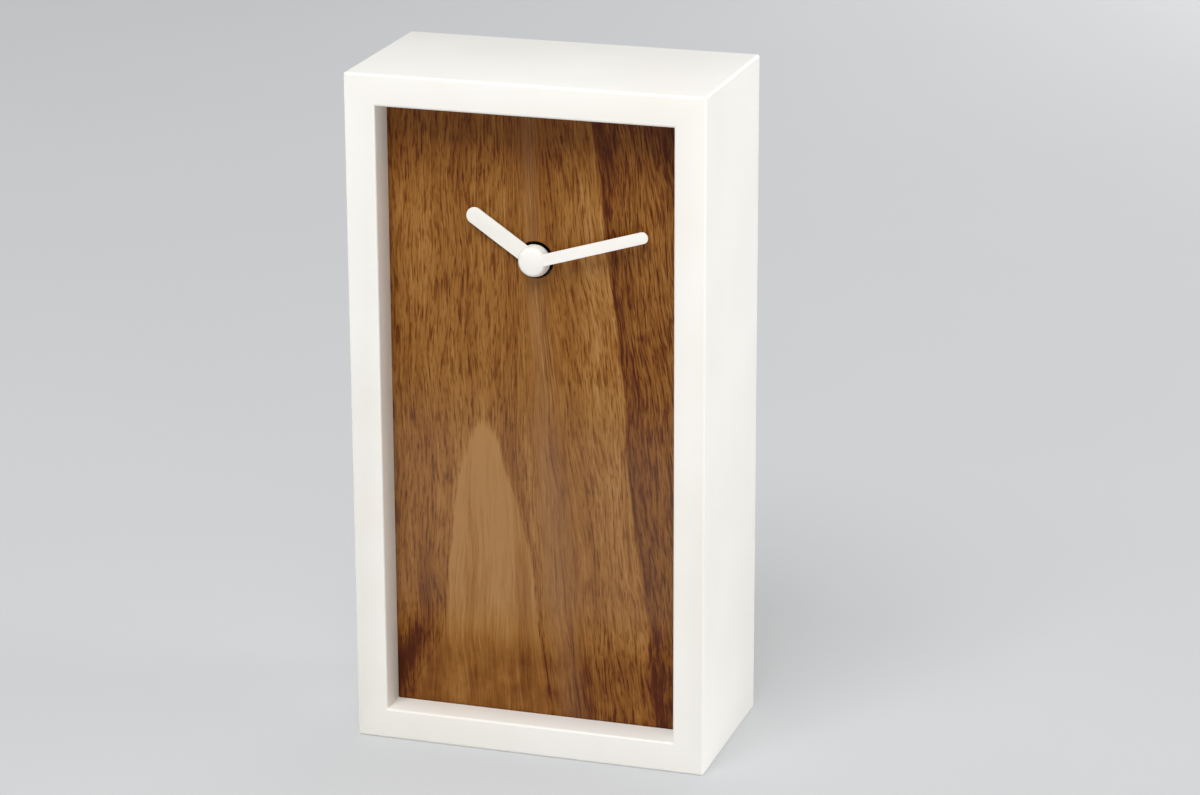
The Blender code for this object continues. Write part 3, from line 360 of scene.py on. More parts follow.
hand_white = moulded("satin_white_lacquer", "#f3f1ec", "#f7f6f2", 0.32, 0.8, 0.004, ior=1.5)
hour_white = moulded("satin_white_lacquer_hour", "#edebe5", "#f1f0eb", 0.36, 0.8, 0.004, ior=1.5)
nylon = moulded("natural_nylon", "#d9d5c8", "#e3e0d5", 0.38, 0.7, 0.006, ior=1.53)
bobbin_nylon = moulded("bobbin_nylon", "#cfc9b9", "#d8d3c5", 0.42, 0.6, 0.006, ior=1.53)
housing_black = moulded("spark_textured_abs", "#161618", "#1e1e20", 0.50, 0.35, 0.03, ior=1.52)
knob_black = moulded("moulded_knob_abs", "#1a1a1c", "#222224", 0.42, 0.5, 0.01, ior=1.52)
rubber = moulded("black_nitrile_rubber", "#121213", "#1a1a1b", 0.80, 0.4, 0.02, ior=1.52)
chip_black = moulded("epoxy_blob", "#101011", "#161617", 0.30, 2.5, 0.02, ior=1.57)
board_green = moulded("solder_mask_green", "#0d3b1c", "#124a25", 0.35, 1.5, 0.004, ior=1.5)
sleeve_grey = moulded("plain_shrink_sleeve", "#55585c", "#5f6266", 0.28, 3.0, 0.01, ior=1.54)
print("moulded finishes: hands, nylon, housing, knob, rubber, chip, board and sleeve")


# %% Metals
def sheet_metal(name, dark, light, roughness, grain_mm, along=(1, 1, 1)):
    """Bare or plated metal with fine marks that run along one direction."""
    finish, tree, shader = start_material(name, roughness, metallic=1.0)
    place = add_node(tree, "ShaderNodeTexCoord").outputs["Object"]
    pulled = add_node(tree, "ShaderNodeMapping", {"Vector": place, "Scale": along}).outputs[0]
    marks = add_node(
        tree, "ShaderNodeTexNoise", {"Vector": pulled, "Scale": scale_for(grain_mm), "Detail": 3.0})
    tone = add_node(tree, "ShaderNodeValToRGB", {"Fac": marks.outputs["Fac"]})
    tone.color_ramp.elements[0].position = 0.3
    tone.color_ramp.elements[0].color = linear(dark)
    tone.color_ramp.elements[1].position = 0.7
    tone.color_ramp.elements[1].color = linear(light)
    tree.links.new(tone.outputs["Color"], shader.inputs["Base Color"])
    gloss = add_node(tree, "ShaderNodeMapRange", {
        "Value": marks.outputs["Fac"], "To Min": roughness - 0.08, "To Max": roughness + 0.08})
    tree.links.new(gloss.outputs[0], shader.inputs["Roughness"])
    relief = add_node(tree, "ShaderNodeBump", {
        "Height": marks.outputs["Fac"], "Strength": 0.3, "Distance": 0.01 * MM})
    tree.links.new(relief.outputs["Normal"], shader.inputs["Normal"])
    return finish


soft_iron = sheet_metal("rolled_soft_iron", "#a7a6a4", "#b8b7b5", 0.36, 0.3, (0.06, 1, 1))
spring_steel = sheet_metal("nickel_plated_spring_steel", "#c2bfb8", "#d0cdc6", 0.28, 0.4, (1, 1, 0.1))
can_nickel = sheet_metal("nickel_plated_can", "#bdbcb9", "#cbcac7", 0.24, 0.6, (0.1, 1, 1))
crystal_nickel = sheet_metal("plated_crystal_can", "#c6c5c2", "#d2d1cf", 0.25, 0.4, (1, 1, 0.2))
turned_brass = sheet_metal("turned_brass", "#b8954f", "#c9a75f", 0.26, 0.25, (1, 0.1, 1))
ferrite = sheet_metal("sintered_ferrite", "#4a4a4d", "#555558", 0.48, 0.2)
blackened_brass = sheet_metal("blackened_brass", "#17171a", "#202023", 0.36, 0.25, (1, 0.1, 1))
print("metal finishes: iron, steel, nickel, brass, ferrite and blackened brass")

# %% [markdown]
# Copper winding
#
# A motor coil holds thousands of turns of enamelled wire finer than a hair. From arm's length they
# read as a bronze sheen with fine lines across the coil. The real wire is about 0.03 mm, too fine to
# show, so the lines are drawn about 1.6 mm apart. The wave node turns 20 radians in one unit.

# %% Enamelled copper wire
WAVE_RADIANS = 20
winding_copper, tree, shader = start_material("enamelled_copper_wire", 0.30, metallic=1.0)
place = add_node(tree, "ShaderNodeTexCoord").outputs["Object"]
turns = add_node(tree, "ShaderNodeTexWave", {
    "Vector": place, "Scale": scale_for(0.25) / WAVE_RADIANS, "Distortion": 0.6, "Detail": 1.0},
    wave_type="BANDS", bands_direction="X")
tone = add_node(tree, "ShaderNodeValToRGB", {"Fac": turns.outputs["Fac"]})
tone.color_ramp.elements[0].color = linear("#8a4526")
tone.color_ramp.elements[1].color = linear("#c9764a")
tree.links.new(tone.outputs["Color"], shader.inputs["Base Color"])
relief = add_node(tree, "ShaderNodeBump", {
    "Height": turns.outputs["Fac"], "Strength": 0.6, "Distance": 0.05 * MM})
tree.links.new(relief.outputs["Normal"], shader.inputs["Normal"])
print("winding finish:", winding_copper.name)

# %% [markdown]
# Pale woods behind the dial
#
# The backing board is birch plywood, whose face shows faint upright grain. Its plies are too thin to
# show one by one, so a wave darkens the front 2 mm of its 3 mm edge a little. The blocks are beech,
# with tiny darker flecks. Both are left raw.


# %% Birch ply and beech
def pale_wood(name, dark, light, fibre_mm, length_mm, radian_mm):
    """A raw pale wood with upright fibres. A length above nought adds dark layers 2 pi of it apart."""
    finish, tree, shader = start_material(name, 0.66, ior=1.45)
    place = add_node(tree, "ShaderNodeTexCoord").outputs["Object"]
    pulled = add_node(tree, "ShaderNodeMapping", {
        "Vector": place,
        "Scale": (scale_for(fibre_mm), scale_for(fibre_mm), scale_for(length_mm))}).outputs[0]
    fibres = add_node(
        tree, "ShaderNodeTexNoise", {"Vector": pulled, "Scale": 1.0, "Detail": 4.0, "Distortion": 0.4})
    tone = add_node(tree, "ShaderNodeValToRGB", {"Fac": fibres.outputs["Fac"]})
    tone.color_ramp.elements[0].position = 0.32
    tone.color_ramp.elements[0].color = linear(dark)
    tone.color_ramp.elements[1].position = 0.66
    tone.color_ramp.elements[1].color = linear(light)
    colour = tone.outputs["Color"]
    if radian_mm:
        plies = add_node(tree, "ShaderNodeTexWave", {
            "Vector": place, "Scale": scale_for(radian_mm) / WAVE_RADIANS},
            bands_direction="Y", wave_profile="SIN")
        layer = add_node(tree, "ShaderNodeMapRange", {
            "Value": plies.outputs["Fac"], "From Min": 0.75, "From Max": 0.95, "To Max": 0.25}).outputs[0]
        colour = add_node(tree, "ShaderNodeMix", {
            0: layer, 6: colour, 7: linear("#7a5a36")}, data_type="RGBA").outputs[2]
    tree.links.new(colour, shader.inputs["Base Color"])
    relief = add_node(tree, "ShaderNodeBump", {
        "Height": fibres.outputs["Fac"], "Strength": 0.4, "Distance": 0.05 * MM})
    tree.links.new(relief.outputs["Normal"], shader.inputs["Normal"])
    return finish


birch_ply = pale_wood("raw_birch_plywood", "#c09a6c", "#d8b98c", 0.9, 60, 1.5)
beech = pale_wood("raw_beech", "#b98d62", "#cfa67a", 0.5, 3.5, 0)
print("wood finishes: birch plywood and beech")

# %% [markdown]
# Turn a built object into a plain piece
#
# A modifier is only a recipe, so the evaluated object is copied to a plain mesh and the modifiers
# go. The faces are turned outwards, and edges sharper than 35 degrees stay crisp in the shading.


# %% Bake a piece
def bake_piece(piece, finish):
    """Swaps an object's mesh for its evaluated one, with no modifier left, and prints its size."""
    evaluated = piece.evaluated_get(bpy.context.evaluated_depsgraph_get())
    mesh = bpy.data.meshes.new_from_object(evaluated)
    piece.modifiers.clear()
    piece.data = mesh
    mesh.name = piece.name
    mesh.materials.clear()
    mesh.materials.append(finish)
    shape = bmesh.new()
    shape.from_mesh(mesh)
    bmesh.ops.remove_doubles(shape, verts=shape.verts, dist=0.001 * MM)
    bmesh.ops.recalc_face_normals(shape, faces=shape.faces)
    open_edges = sum(not edge.is_manifold for edge in shape.edges)
    shape.to_mesh(mesh)
    shape.free()
    mesh.shade_smooth()
    mesh.set_sharp_from_angle(angle=math.radians(35))
    print(piece.name, "faces:", len(mesh.polygons), "open edges:", open_edges,
          "size in mm:", [round(side * 1000, 2) for side in piece.dimensions])


def new_piece(name):
    """An object in the scene, with an empty mesh."""
    piece = bpy.data.objects.new(name, bpy.data.meshes.new(name))
    bpy.context.scene.collection.objects.link(piece)
    return piece


# %% [markdown]
# The case
#
# On the real clock four mitred walls and a front lip are glued and sanded to one seamless shell. Its
# section is simple: out along the lip, back along the wall, in round the cavity and forward again. So
# it is built as a strip of rectangular rings that closes on itself. A Bevel modifier then rounds the
# outside edges by 0.8 mm, as the hand feels them, and the inside ones by less. Each edge says how
# much of the full width it takes through its bevel weight.

# %% Build the case shell
LIP_WIDTH = 9.2 * MM
WALL = 6.0 * MM
LIP_DEPTH = 9.9 * MM
case_low, case_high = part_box("case_body")
ring_plan = (
    (0, case_low.y, 1.0), (0, case_high.y, 1.0), (WALL, case_high.y, 0.5),
    (WALL, case_low.y + LIP_DEPTH, 0.3), (LIP_WIDTH, case_low.y + LIP_DEPTH, 0.25),
    (LIP_WIDTH, case_low.y, 0.9),
)
shape = bmesh.new()
rings = []
for inset, y, _ in ring_plan:
    left, right = case_low.x + inset, case_high.x - inset
    bottom, top = case_low.z + inset, case_high.z - inset
    rings.append([shape.verts.new((x, y, z)) for x, z in (
        (left, bottom), (right, bottom), (right, top), (left, top))])
for ring, following in zip(rings, rings[1:] + rings[:1]):
    for corner in range(4):
        after = (corner + 1) % 4
        shape.faces.new((ring[corner], ring[after], following[after], following[corner]))
bmesh.ops.recalc_face_normals(shape, faces=shape.faces)
weights = shape.edges.layers.float.new("bevel_weight_edge")
for ring, (_, _, weight) in zip(rings, ring_plan):
    for corner in range(4):
        shape.edges.get((ring[corner], ring[(corner + 1) % 4]))[weights] = weight
for index, weight in ((0, 1.0), (2, 0.5), (4, 0.5)):
    for corner in range(4):
        shape.edges.get((rings[index][corner], rings[index + 1][corner]))[weights] = weight
case = new_piece("white_case")
shape.to_mesh(case.data)
shape.free()
rounding = case.modifiers.new("rounding", "BEVEL")
rounding.limit_method = "WEIGHT"
rounding.width = 0.8 * MM
rounding.segments = 4
bake_piece(case, case_white)
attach(case, "clock")
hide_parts("case_body")

# %% [markdown]
# The dial
#
# The dial is a flat walnut board behind the lip, with a hole for the clock's stem. A flat board needs
# few faces: rings of points run round the hole and round the outline at the same angles, so every
# face is a clean strip from the hole to the edge. The hole's front edge is broken by 0.25 mm.

# %% Build the dial board
dial_low, dial_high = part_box("dial_panel")
hub = Vector((0, 0, (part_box("hour_wheel")[0].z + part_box("hour_wheel")[1].z) / 2))
HOLE_RADIUS = 5.3 * MM
HOLE_BREAK = 0.25 * MM


def board_outline(angle, inset):
    """The point of the board's outline that lies at an angle from the hub."""
    x, z = math.sin(angle), math.cos(angle)
    reach_x = (dial_high.x - inset if x > 0 else dial_low.x + inset) / x if abs(x) > 1e-9 else 1e9
    reach_z = ((dial_high.z - inset if z > 0 else dial_low.z + inset) - hub.z) / z if abs(z) > 1e-9 else 1e9
    reach = min(reach_x, reach_z)
    return reach * x, hub.z + reach * z


corners = [math.atan2(x, z - hub.z) % (2 * math.pi)
           for x in (dial_low.x, dial_high.x) for z in (dial_low.z, dial_high.z)]
angles = sorted(corners + [2 * math.pi * (step + 0.5) / 72 for step in range(72)])
board_plan = (
    (None, 0, dial_low.y), (HOLE_RADIUS + HOLE_BREAK, None, dial_low.y),
    (HOLE_RADIUS, None, dial_low.y + HOLE_BREAK), (HOLE_RADIUS, None, dial_high.y), (None, 0, dial_high.y),
)
shape = bmesh.new()
rings = []
for radius, inset, y in board_plan:
    ring = []
    for angle in angles:
        x, z = board_outline(angle, inset) if radius is None else (
            radius * math.sin(angle), hub.z + radius * math.cos(angle))
        ring.append(shape.verts.new((x, y, z)))
    rings.append(ring)
for ring, following in zip(rings, rings[1:] + rings[:1]):
    for index in range(len(angles)):
        after = (index + 1) % len(angles)
        shape.faces.new((ring[index], ring[after], following[after], following[index]))
dial = new_piece("walnut_dial")
shape.to_mesh(dial.data)
shape.free()
bake_piece(dial, walnut)
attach(dial, "clock")
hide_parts("dial_panel")

# %% [markdown]
# The hands: one rule, two hands
#
# Both hands are the same shape with other numbers: a flat baton with a round end, on a round hub with
# a bore. That is a rule, so Geometry Nodes make it. The baton is the convex hull of two pulled-out
# circles, one at the arm's front and one at its back. The hub is a drum whose rings shrink towards
# the eye along a drawn curve, so that it ends in a soft dome. The two are joined and the bore is cut,
# and every size is a named input. The tree draws a hand at twelve o'clock, with Z towards the eye.

# %% The tree of a baton hand
hand_tree = bpy.data.node_groups.new("baton_hand", "GeometryNodeTree")
for name in ("Length", "Width", "Arm Front", "Arm Back", "Hub Radius", "Hub Front", "Hub Back",
             "Dome", "Bore Radius", "Bore Front", "Bore Back"):
    hand_tree.interface.new_socket(name, in_out="INPUT", socket_type="NodeSocketFloat")
hand_tree.interface.new_socket("Finish", in_out="INPUT", socket_type="NodeSocketMaterial")
hand_tree.interface.new_socket("Geometry", in_out="OUTPUT", socket_type="NodeSocketGeometry")
given = add_node(hand_tree, "NodeGroupInput").outputs
half_width = add_node(
    hand_tree, "ShaderNodeMath", {0: given["Width"], 1: 0.5}, operation="MULTIPLY").outputs[0]
tip_height = add_node(
    hand_tree, "ShaderNodeMath", {0: given["Length"], 1: half_width}, operation="SUBTRACT").outputs[0]
round_end = add_node(hand_tree, "GeometryNodeMeshCircle", {"Vertices": 96, "Radius": half_width})
spot = add_node(hand_tree, "GeometryNodeInputPosition").outputs[0]
spot_height = add_node(hand_tree, "ShaderNodeSeparateXYZ", {0: spot}).outputs["Y"]
upper_half = add_node(
    hand_tree, "FunctionNodeCompare", {0: spot_height, 1: -0.01 * MM}, operation="GREATER_THAN")
pull = add_node(hand_tree, "ShaderNodeCombineXYZ", {"Y": tip_height}).outputs[0]
stadium = add_node(hand_tree, "GeometryNodeSetPosition", {
    "Geometry": round_end.outputs["Mesh"], "Selection": upper_half.outputs[0], "Offset": pull}).outputs[0]
faces = add_node(hand_tree, "GeometryNodeJoinGeometry")
for side in ("Arm Front", "Arm Back"):
    level = add_node(hand_tree, "ShaderNodeCombineXYZ", {"Z": given[side]}).outputs[0]
    copy = add_node(
        hand_tree, "GeometryNodeTransform", {"Geometry": stadium, "Translation": level}).outputs[0]
    hand_tree.links.new(copy, faces.inputs[0])
arm = add_node(hand_tree, "GeometryNodeConvexHull", {0: faces.outputs[0]}).outputs[0]
rounds = {}
for part, sides in (("Hub", 96), ("Bore", 48)):
    front, back = given[part + " Front"], given[part + " Back"]
    length = add_node(hand_tree, "ShaderNodeMath", {0: front, 1: back}, operation="SUBTRACT").outputs[0]
    total = add_node(hand_tree, "ShaderNodeMath", {0: front, 1: back}, operation="ADD").outputs[0]
    middle = add_node(hand_tree, "ShaderNodeMath", {0: total, 1: 0.5}, operation="MULTIPLY").outputs[0]
    level = add_node(hand_tree, "ShaderNodeCombineXYZ", {"Z": middle}).outputs[0]
    drum = add_node(hand_tree, "GeometryNodeMeshCylinder", {
        "Vertices": sides, "Side Segments": 24 if part == "Hub" else 1,
        "Radius": given[part + " Radius"], "Depth": length}).outputs["Mesh"]
    rounds[part] = add_node(
        hand_tree, "GeometryNodeTransform", {"Geometry": drum, "Translation": level}).outputs[0]
spot_depth = add_node(hand_tree, "ShaderNodeSeparateXYZ", {0: spot}).outputs["Z"]
rise = add_node(hand_tree, "ShaderNodeMapRange", {
    "Value": spot_depth, "From Min": given["Hub Back"], "From Max": given["Hub Front"]}).outputs[0]
dome = add_node(hand_tree, "ShaderNodeFloatCurve", {"Value": rise})
curve = dome.mapping.curves[0]
curve.points[0].location = (0.0, 0.0)
curve.points[1].location = (1.0, 1.0)
for place in ((0.45, 0.12), (0.75, 0.38), (0.92, 0.70)):
    curve.points.new(*place)
dome.mapping.update()
pinch = add_node(
    hand_tree, "ShaderNodeMath", {0: dome.outputs[0], 1: given["Dome"]}, operation="MULTIPLY").outputs[0]
share = add_node(hand_tree, "ShaderNodeMath", {0: 1.0, 1: pinch}, operation="SUBTRACT").outputs[0]
shares = add_node(hand_tree, "ShaderNodeCombineXYZ", {0: share, 1: share, 2: 1.0}).outputs[0]
domed = add_node(hand_tree, "ShaderNodeVectorMath", {0: spot, 1: shares}, operation="MULTIPLY").outputs[0]
rounds["Hub"] = add_node(
    hand_tree, "GeometryNodeSetPosition", {"Geometry": rounds["Hub"], "Position": domed}).outputs[0]
whole = add_node(hand_tree, "GeometryNodeMeshBoolean", {"Mesh 2": arm}, operation="UNION", solver="EXACT")
hand_tree.links.new(rounds["Hub"], whole.inputs["Mesh 2"])
bored = add_node(hand_tree, "GeometryNodeMeshBoolean", {
    "Mesh 1": whole.outputs["Mesh"], "Mesh 2": rounds["Bore"]}, operation="DIFFERENCE", solver="EXACT")
real = add_node(hand_tree, "GeometryNodeRealizeInstances", {0: bored.outputs["Mesh"]}).outputs[0]
painted = add_node(
    hand_tree, "GeometryNodeSetMaterial", {"Geometry": real, "Material": given["Finish"]}).outputs[0]
add_node(hand_tree, "NodeGroupOutput", {0: painted})
print("hand tree nodes:", len(hand_tree.nodes))

# %% [markdown]
# Cut both hands from the rule
#
# A modifier's inputs are set by their hidden identifiers, before Blender evaluates the object. The
# depths come from the frame's own solids. A small Bevel modifier breaks the edges, because lacquer
# always runs thin and round there. The drawn hand is tipped upright and turned to its hour.


# %% Make the hands
def run_tree(name, group, values):
    """A new object whose mesh is made by a node tree from these named values."""
    piece = new_piece(name)
    modifier = piece.modifiers.new("shape", "NODES")
    modifier.node_group = group
    for item in group.interface.items_tree:
        if item.in_out == "INPUT":
            modifier[item.identifier] = values[item.name]
    return piece


def break_edges(piece, width, segments):
    """Adds a Bevel modifier that rounds each edge sharper than 50 degrees."""
    edge_break = piece.modifiers.new("edge", "BEVEL")
    edge_break.limit_method = "ANGLE"
    edge_break.angle_limit = math.radians(50)
    edge_break.width = width
    edge_break.segments = segments


ARM_THICKNESS = 0.4 * MM
ARM_SETBACK = 0.15 * MM
CUT_PAST = 1 * MM
minute_low, minute_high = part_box("minute_hand")
hour_low, hour_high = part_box("hour_hand")
minute_arm_front = -minute_low.y - ARM_SETBACK
minute_sizes = {
    "Length": 35.7 * MM, "Width": 3.34 * MM, "Hub Radius": 4.4 * MM, "Hub Front": -minute_low.y,
    "Hub Back": -minute_high.y, "Dome": 0.24, "Arm Front": minute_arm_front,
    "Arm Back": minute_arm_front - ARM_THICKNESS, "Bore Radius": 1.9 * MM,
    "Bore Front": minute_arm_front - ARM_THICKNESS, "Bore Back": -minute_high.y - CUT_PAST,
    "Finish": hand_white,
}
hour_sizes = {
    "Length": 23.6 * MM, "Width": 4.9 * MM, "Hub Radius": 4.6 * MM, "Hub Front": -hour_low.y,
    "Hub Back": -hour_high.y, "Dome": 0.0, "Arm Front": -hour_low.y,
    "Arm Back": -hour_low.y - ARM_THICKNESS, "Bore Radius": 2.8 * MM,
    "Bore Front": -hour_low.y + CUT_PAST, "Bore Back": -hour_high.y - CUT_PAST, "Finish": hour_white,
}
for name, node, body, slot, sizes, degrees in (
    ("minute_baton", "minute_hand", "minute", "minute_hand_white", minute_sizes, 73.1),
    ("hour_baton", "hour_hand", "hour", "hour_hand_white", hour_sizes, 304.05),
):
    hand = run_tree(name, hand_tree, sizes)
    break_edges(hand, 0.08 * MM, 3)
    bake_piece(hand, sizes["Finish"])
    upright = Matrix.Rotation(math.radians(90), 4, "X")
    turned = Matrix.Rotation(math.radians(degrees), 4, "Y")
    hand.data.transform(Matrix.Translation(hub) @ turned @ upright)
    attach(hand, body)
    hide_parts(node)

# %% [markdown]
# The setting knob
#
# The knob at the back is gripped by finger and thumb, so it has ribs. Eighteen equal ribs round a
# drum are a repeat, and Geometry Nodes set one bar on each point of a circle. The end is dished, as a
# moulded knob is, so that its wall cools evenly.

# %% The tree of a ribbed knob
knob_tree = bpy.data.node_groups.new("ribbed_knob", "GeometryNodeTree")
for name in ("Drum Radius", "Rib Reach", "Rib Width", "Height", "Dish Radius", "Dish Depth",
             "Bore Radius", "Bore Depth"):
    knob_tree.interface.new_socket(name, in_out="INPUT", socket_type="NodeSocketFloat")
knob_tree.interface.new_socket("Ribs", in_out="INPUT", socket_type="NodeSocketInt")
knob_tree.interface.new_socket("Finish", in_out="INPUT", socket_type="NodeSocketMaterial")
knob_tree.interface.new_socket("Geometry", in_out="OUTPUT", socket_type="NodeSocketGeometry")
given = add_node(knob_tree, "NodeGroupInput").outputs
drum = add_node(knob_tree, "GeometryNodeMeshCylinder", {
    "Vertices": 72, "Radius": given["Drum Radius"], "Depth": given["Height"]}).outputs["Mesh"]
rib_depth = add_node(knob_tree, "ShaderNodeMath", {
    0: given["Rib Reach"], 1: given["Drum Radius"]}, operation="SUBTRACT").outputs[0]
rib_length = add_node(knob_tree, "ShaderNodeMath", {0: rib_depth, 1: 2.0}, operation="MULTIPLY").outputs[0]
bar_size = add_node(knob_tree, "ShaderNodeCombineXYZ", {
    "X": rib_length, "Y": given["Rib Width"], "Z": given["Height"]}).outputs[0]
bar = add_node(knob_tree, "GeometryNodeMeshCube", {"Size": bar_size}).outputs["Mesh"]
stations = add_node(knob_tree, "GeometryNodeMeshCircle", {
    "Vertices": given["Ribs"], "Radius": given["Drum Radius"]}).outputs["Mesh"]
spot = add_node(knob_tree, "GeometryNodeInputPosition").outputs[0]
facing = add_node(knob_tree, "FunctionNodeAlignRotationToVector", {"Vector": spot}, axis="X").outputs[0]
bars = add_node(knob_tree, "GeometryNodeInstanceOnPoints", {
    "Points": stations, "Instance": bar, "Rotation": facing}).outputs[0]
real_bars = add_node(knob_tree, "GeometryNodeRealizeInstances", {0: bars}).outputs[0]
grip = add_node(knob_tree, "GeometryNodeMeshBoolean", {"Mesh 2": drum}, operation="UNION", solver="EXACT")
knob_tree.links.new(real_bars, grip.inputs["Mesh 2"])
cuts = add_node(knob_tree, "GeometryNodeJoinGeometry")
half_height = add_node(
    knob_tree, "ShaderNodeMath", {0: given["Height"], 1: 0.5}, operation="MULTIPLY").outputs[0]
for cut, sides, sign in (("Dish", 72, 1.0), ("Bore", 32, -1.0)):
    twice = add_node(
        knob_tree, "ShaderNodeMath", {0: given[cut + " Depth"], 1: 2.0}, operation="MULTIPLY").outputs[0]
    cutter = add_node(knob_tree, "GeometryNodeMeshCylinder", {
        "Vertices": sides, "Radius": given[cut + " Radius"], "Depth": twice}).outputs["Mesh"]
    end = add_node(knob_tree, "ShaderNodeMath", {0: half_height, 1: sign}, operation="MULTIPLY").outputs[0]
    level = add_node(knob_tree, "ShaderNodeCombineXYZ", {"Z": end}).outputs[0]
    moved = add_node(
        knob_tree, "GeometryNodeTransform", {"Geometry": cutter, "Translation": level}).outputs[0]
    knob_tree.links.new(moved, cuts.inputs[0])
carved = add_node(knob_tree, "GeometryNodeMeshBoolean", {
    "Mesh 1": grip.outputs["Mesh"], "Mesh 2": cuts.outputs[0]}, operation="DIFFERENCE", solver="EXACT")
real = add_node(knob_tree, "GeometryNodeRealizeInstances", {0: carved.outputs["Mesh"]}).outputs[0]
painted = add_node(
    knob_tree, "GeometryNodeSetMaterial", {"Geometry": real, "Material": given["Finish"]}).outputs[0]
add_node(knob_tree, "NodeGroupOutput", {0: painted})
print("knob tree nodes:", len(knob_tree.nodes))

# %% Make the knob
knob_low, knob_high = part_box("set_knob")
knob = run_tree("setting_knob", knob_tree, {
    "Drum Radius": 4.1 * MM, "Rib Reach": 4.5 * MM, "Rib Width": 0.75 * MM,
    "Height": knob_high.y - knob_low.y, "Dish Radius": 3.2 * MM, "Dish Depth": 0.4 * MM,
    "Bore Radius": 1.2 * MM, "Bore Depth": 2.05 * MM, "Ribs": 18, "Finish": knob_black,
})
break_edges(knob, 0.1 * MM, 2)
bake_piece(knob, knob_black)
knob_centre = (knob_low + knob_high) / 2
knob.data.transform(Matrix.Translation(knob_centre) @ Matrix.Rotation(math.radians(-90), 4, "X"))
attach(knob, "setting")
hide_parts("set_knob")

# %% [markdown]
# Finishes for the solids that stay
#
# The movement's wheels, plates and contacts already have their shapes in the frame, and most of them
# hide in the housing. Each one keeps its shape and gets its real finish in its own slot.

# %% Dress the carried-over solids
dressed = {
    birch_ply: ["backing_board"],
    beech: ["corner_block_lower_left", "corner_block_lower_right", "corner_block_upper_left",
            "corner_block_upper_right"],
    blackened_brass: ["centre_nut"],
    rubber: ["rubber_washer"],
    turned_brass: ["minute_arbor"],
    nylon: ["hour_wheel", "minute_work_wheel", "centre_wheel", "third_wheel", "seconds_wheel",
            "intermediate_wheel", "rotor_pinion"],
    ferrite: ["rotor_magnet"],
    soft_iron: ["stator", "coil_core"],
    bobbin_nylon: ["coil_bobbin"],
    winding_copper: ["coil_winding"],
    board_green: ["circuit_board"],
    chip_black: ["clock_chip"],
    crystal_nickel: ["crystal_can"],
    can_nickel: ["battery_can"],
    sleeve_grey: ["battery_sleeve"],
    spring_steel: ["contact_negative", "contact_positive"],
    housing_black: ["mid_plate", "movement_front_case", "movement_rear_cover"],
}
for finish, names in dressed.items():
    for name in names:
        for slot in nodes[name].material_slots:
            slot.material = finish
print("solids dressed:", sum(len(names) for names in dressed.values()))

# %% [markdown]
# Floor, light and camera
#
# The clock stands on a plain pale floor. The main lamp is high in front, so the top lip lays a soft
# band of shade on the dial and the sill below it is bright. Low lamps at the front, the sides and the
# back are weaker: they keep each wall readable from its own side. All are hidden from the camera. To
# the camera, the floor mixes its own light with an even pale tone, so that it stays pale far back and
# still keeps the shadow. The camera stands where the photograph's did, with a long lens, to the right
# and 18 degrees up.

# %% Floor and world
EVEN_SHARE, ROOM_STRENGTH, FLOOR_RADIUS = 0.55, 0.26, 6.0
floor_finish, tree, shader = start_material("pale_paper_sweep", 0.85)
place = add_node(tree, "ShaderNodeTexCoord").outputs["Object"]
mottle = add_node(tree, "ShaderNodeTexNoise", {"Vector": place, "Scale": scale_for(120), "Detail": 3.0})
tone = add_node(tree, "ShaderNodeValToRGB", {"Fac": mottle.outputs["Fac"]})
tone.color_ramp.elements[0].color = linear("#cccdce")
tone.color_ramp.elements[1].color = linear("#d2d3d4")
tree.links.new(tone.outputs["Color"], shader.inputs["Base Color"])
seen_by = add_node(tree, "ShaderNodeLightPath").outputs
even_tone = add_node(tree, "ShaderNodeEmission", {"Color": linear("#cfd1d3"), "Strength": 1.0})
even_share = add_node(
    tree, "ShaderNodeMath", {0: seen_by["Is Camera Ray"], 1: EVEN_SHARE}, operation="MULTIPLY").outputs[0]
paper = add_node(tree, "ShaderNodeMixShader", {0: even_share, 1: shader.outputs[0], 2: even_tone.outputs[0]})
tree.links.new(paper.outputs[0], tree.nodes["Material Output"].inputs["Surface"])
floor = new_piece("floor")
shape = bmesh.new()
bmesh.ops.create_circle(shape, cap_ends=True, segments=96, radius=FLOOR_RADIUS)
shape.to_mesh(floor.data)
shape.free()
floor.data.materials.append(floor_finish)
world = bpy.data.worlds.new("soft_room")
world.use_nodes = True
bpy.context.scene.world = world
tree = world.node_tree
tree.nodes.clear()
path = add_node(tree, "ShaderNodeLightPath")
room = add_node(tree, "ShaderNodeBackground", {"Color": linear("#f6f5f3"), "Strength": ROOM_STRENGTH})
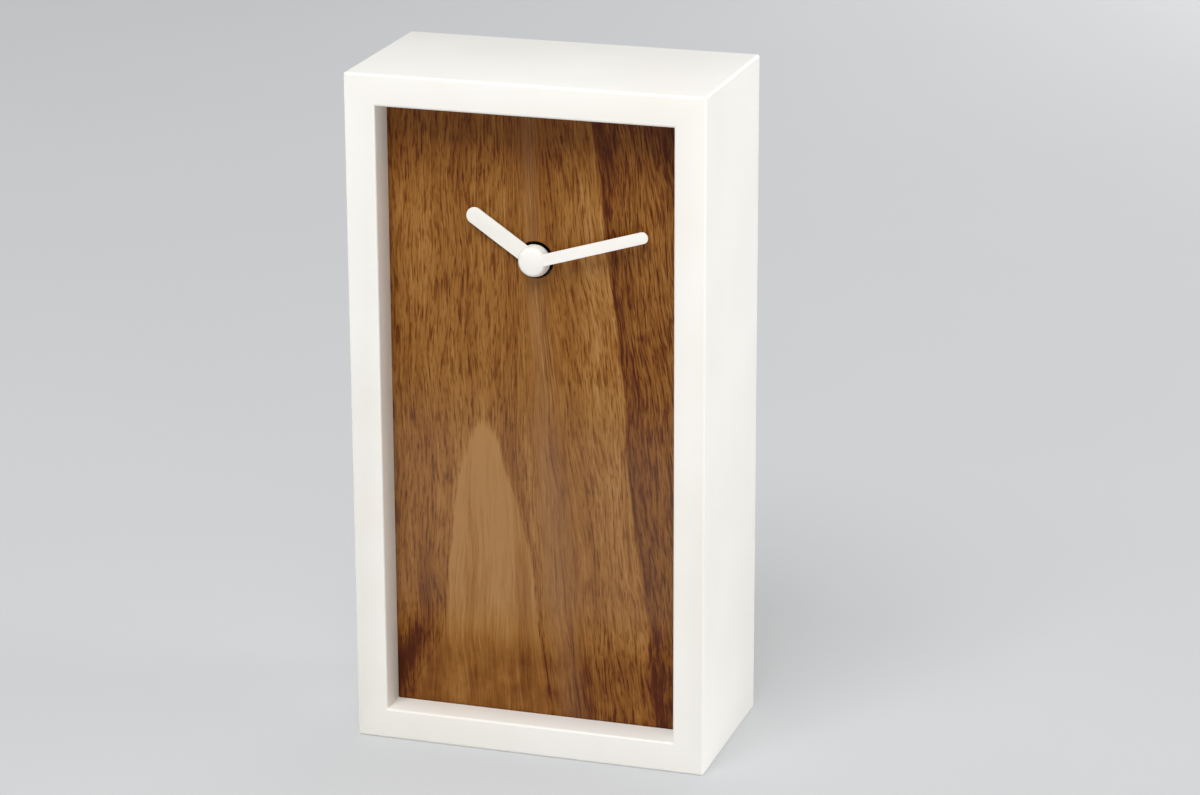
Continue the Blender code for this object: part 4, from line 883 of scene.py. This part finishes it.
seen = add_node(tree, "ShaderNodeBackground", {"Color": linear("#d5d7d9"), "Strength": 1.0})
mixed = add_node(
    tree, "ShaderNodeMixShader", {0: path.outputs["Is Camera Ray"], 1: room.outputs[0], 2: seen.outputs[0]})
add_node(tree, "ShaderNodeOutputWorld", {0: mixed.outputs[0]})
print("floor and world ready")

# %% Lamps
for name, spot, side, power, colour in (
    ("key_softbox", (-0.05, -0.62, 1.10), 0.55, 11.2, "#ffffff"),
    ("front_softbox", (0.60, -1.25, 0.30), 0.6, 3.2, "#fff8ee"),
    ("right_softbox", (1.25, 0.20, 0.38), 0.6, 7.6, "#ffffff"),
    ("left_softbox", (-1.25, 0.25, 0.30), 0.6, 4.0, "#ffffff"),
    ("back_softbox", (0.25, 1.35, 0.42), 0.6, 6.0, "#ffffff"),
):
    lamp_data = bpy.data.lights.new(name, "AREA")
    lamp_data.shape = "SQUARE"
    lamp_data.size = side
    lamp_data.energy = power
    lamp_data.color = linear(colour)[:3]
    lamp = bpy.data.objects.new(name, lamp_data)
    bpy.context.scene.collection.objects.link(lamp)
    lamp.location = spot
    aim = Vector((0, 0, 0.1)) - Vector(spot)
    lamp.rotation_euler = aim.to_track_quat("-Z", "Y").to_euler()
    lamp.visible_camera = False
    print(name, "stands", round(aim.length, 2), "m away")

# %% Camera
camera = bpy.data.objects.new("camera", bpy.data.cameras.new("camera"))
bpy.context.scene.collection.objects.link(camera)
LENS_MM, SENSOR_MM, ROLL_DEGREES = 117.63, 36.0, -0.197
CAMERA_DIRECTION = Vector((-0.28694, 0.90697, -0.30834))
camera.data.lens = LENS_MM
camera.data.sensor_width = SENSOR_MM
camera.data.clip_start = 50 * MM
camera.location = (0.337994, -1.025781, 0.450910)
looking = CAMERA_DIRECTION.to_track_quat("-Z", "Y").to_matrix().to_4x4()
camera.rotation_euler = (looking @ Matrix.Rotation(math.radians(ROLL_DEGREES), 4, "Z")).to_euler()
bpy.context.scene.camera = camera
bpy.context.scene.view_settings.view_transform = "Standard"
print("camera height in m:", round(camera.location.z, 3))
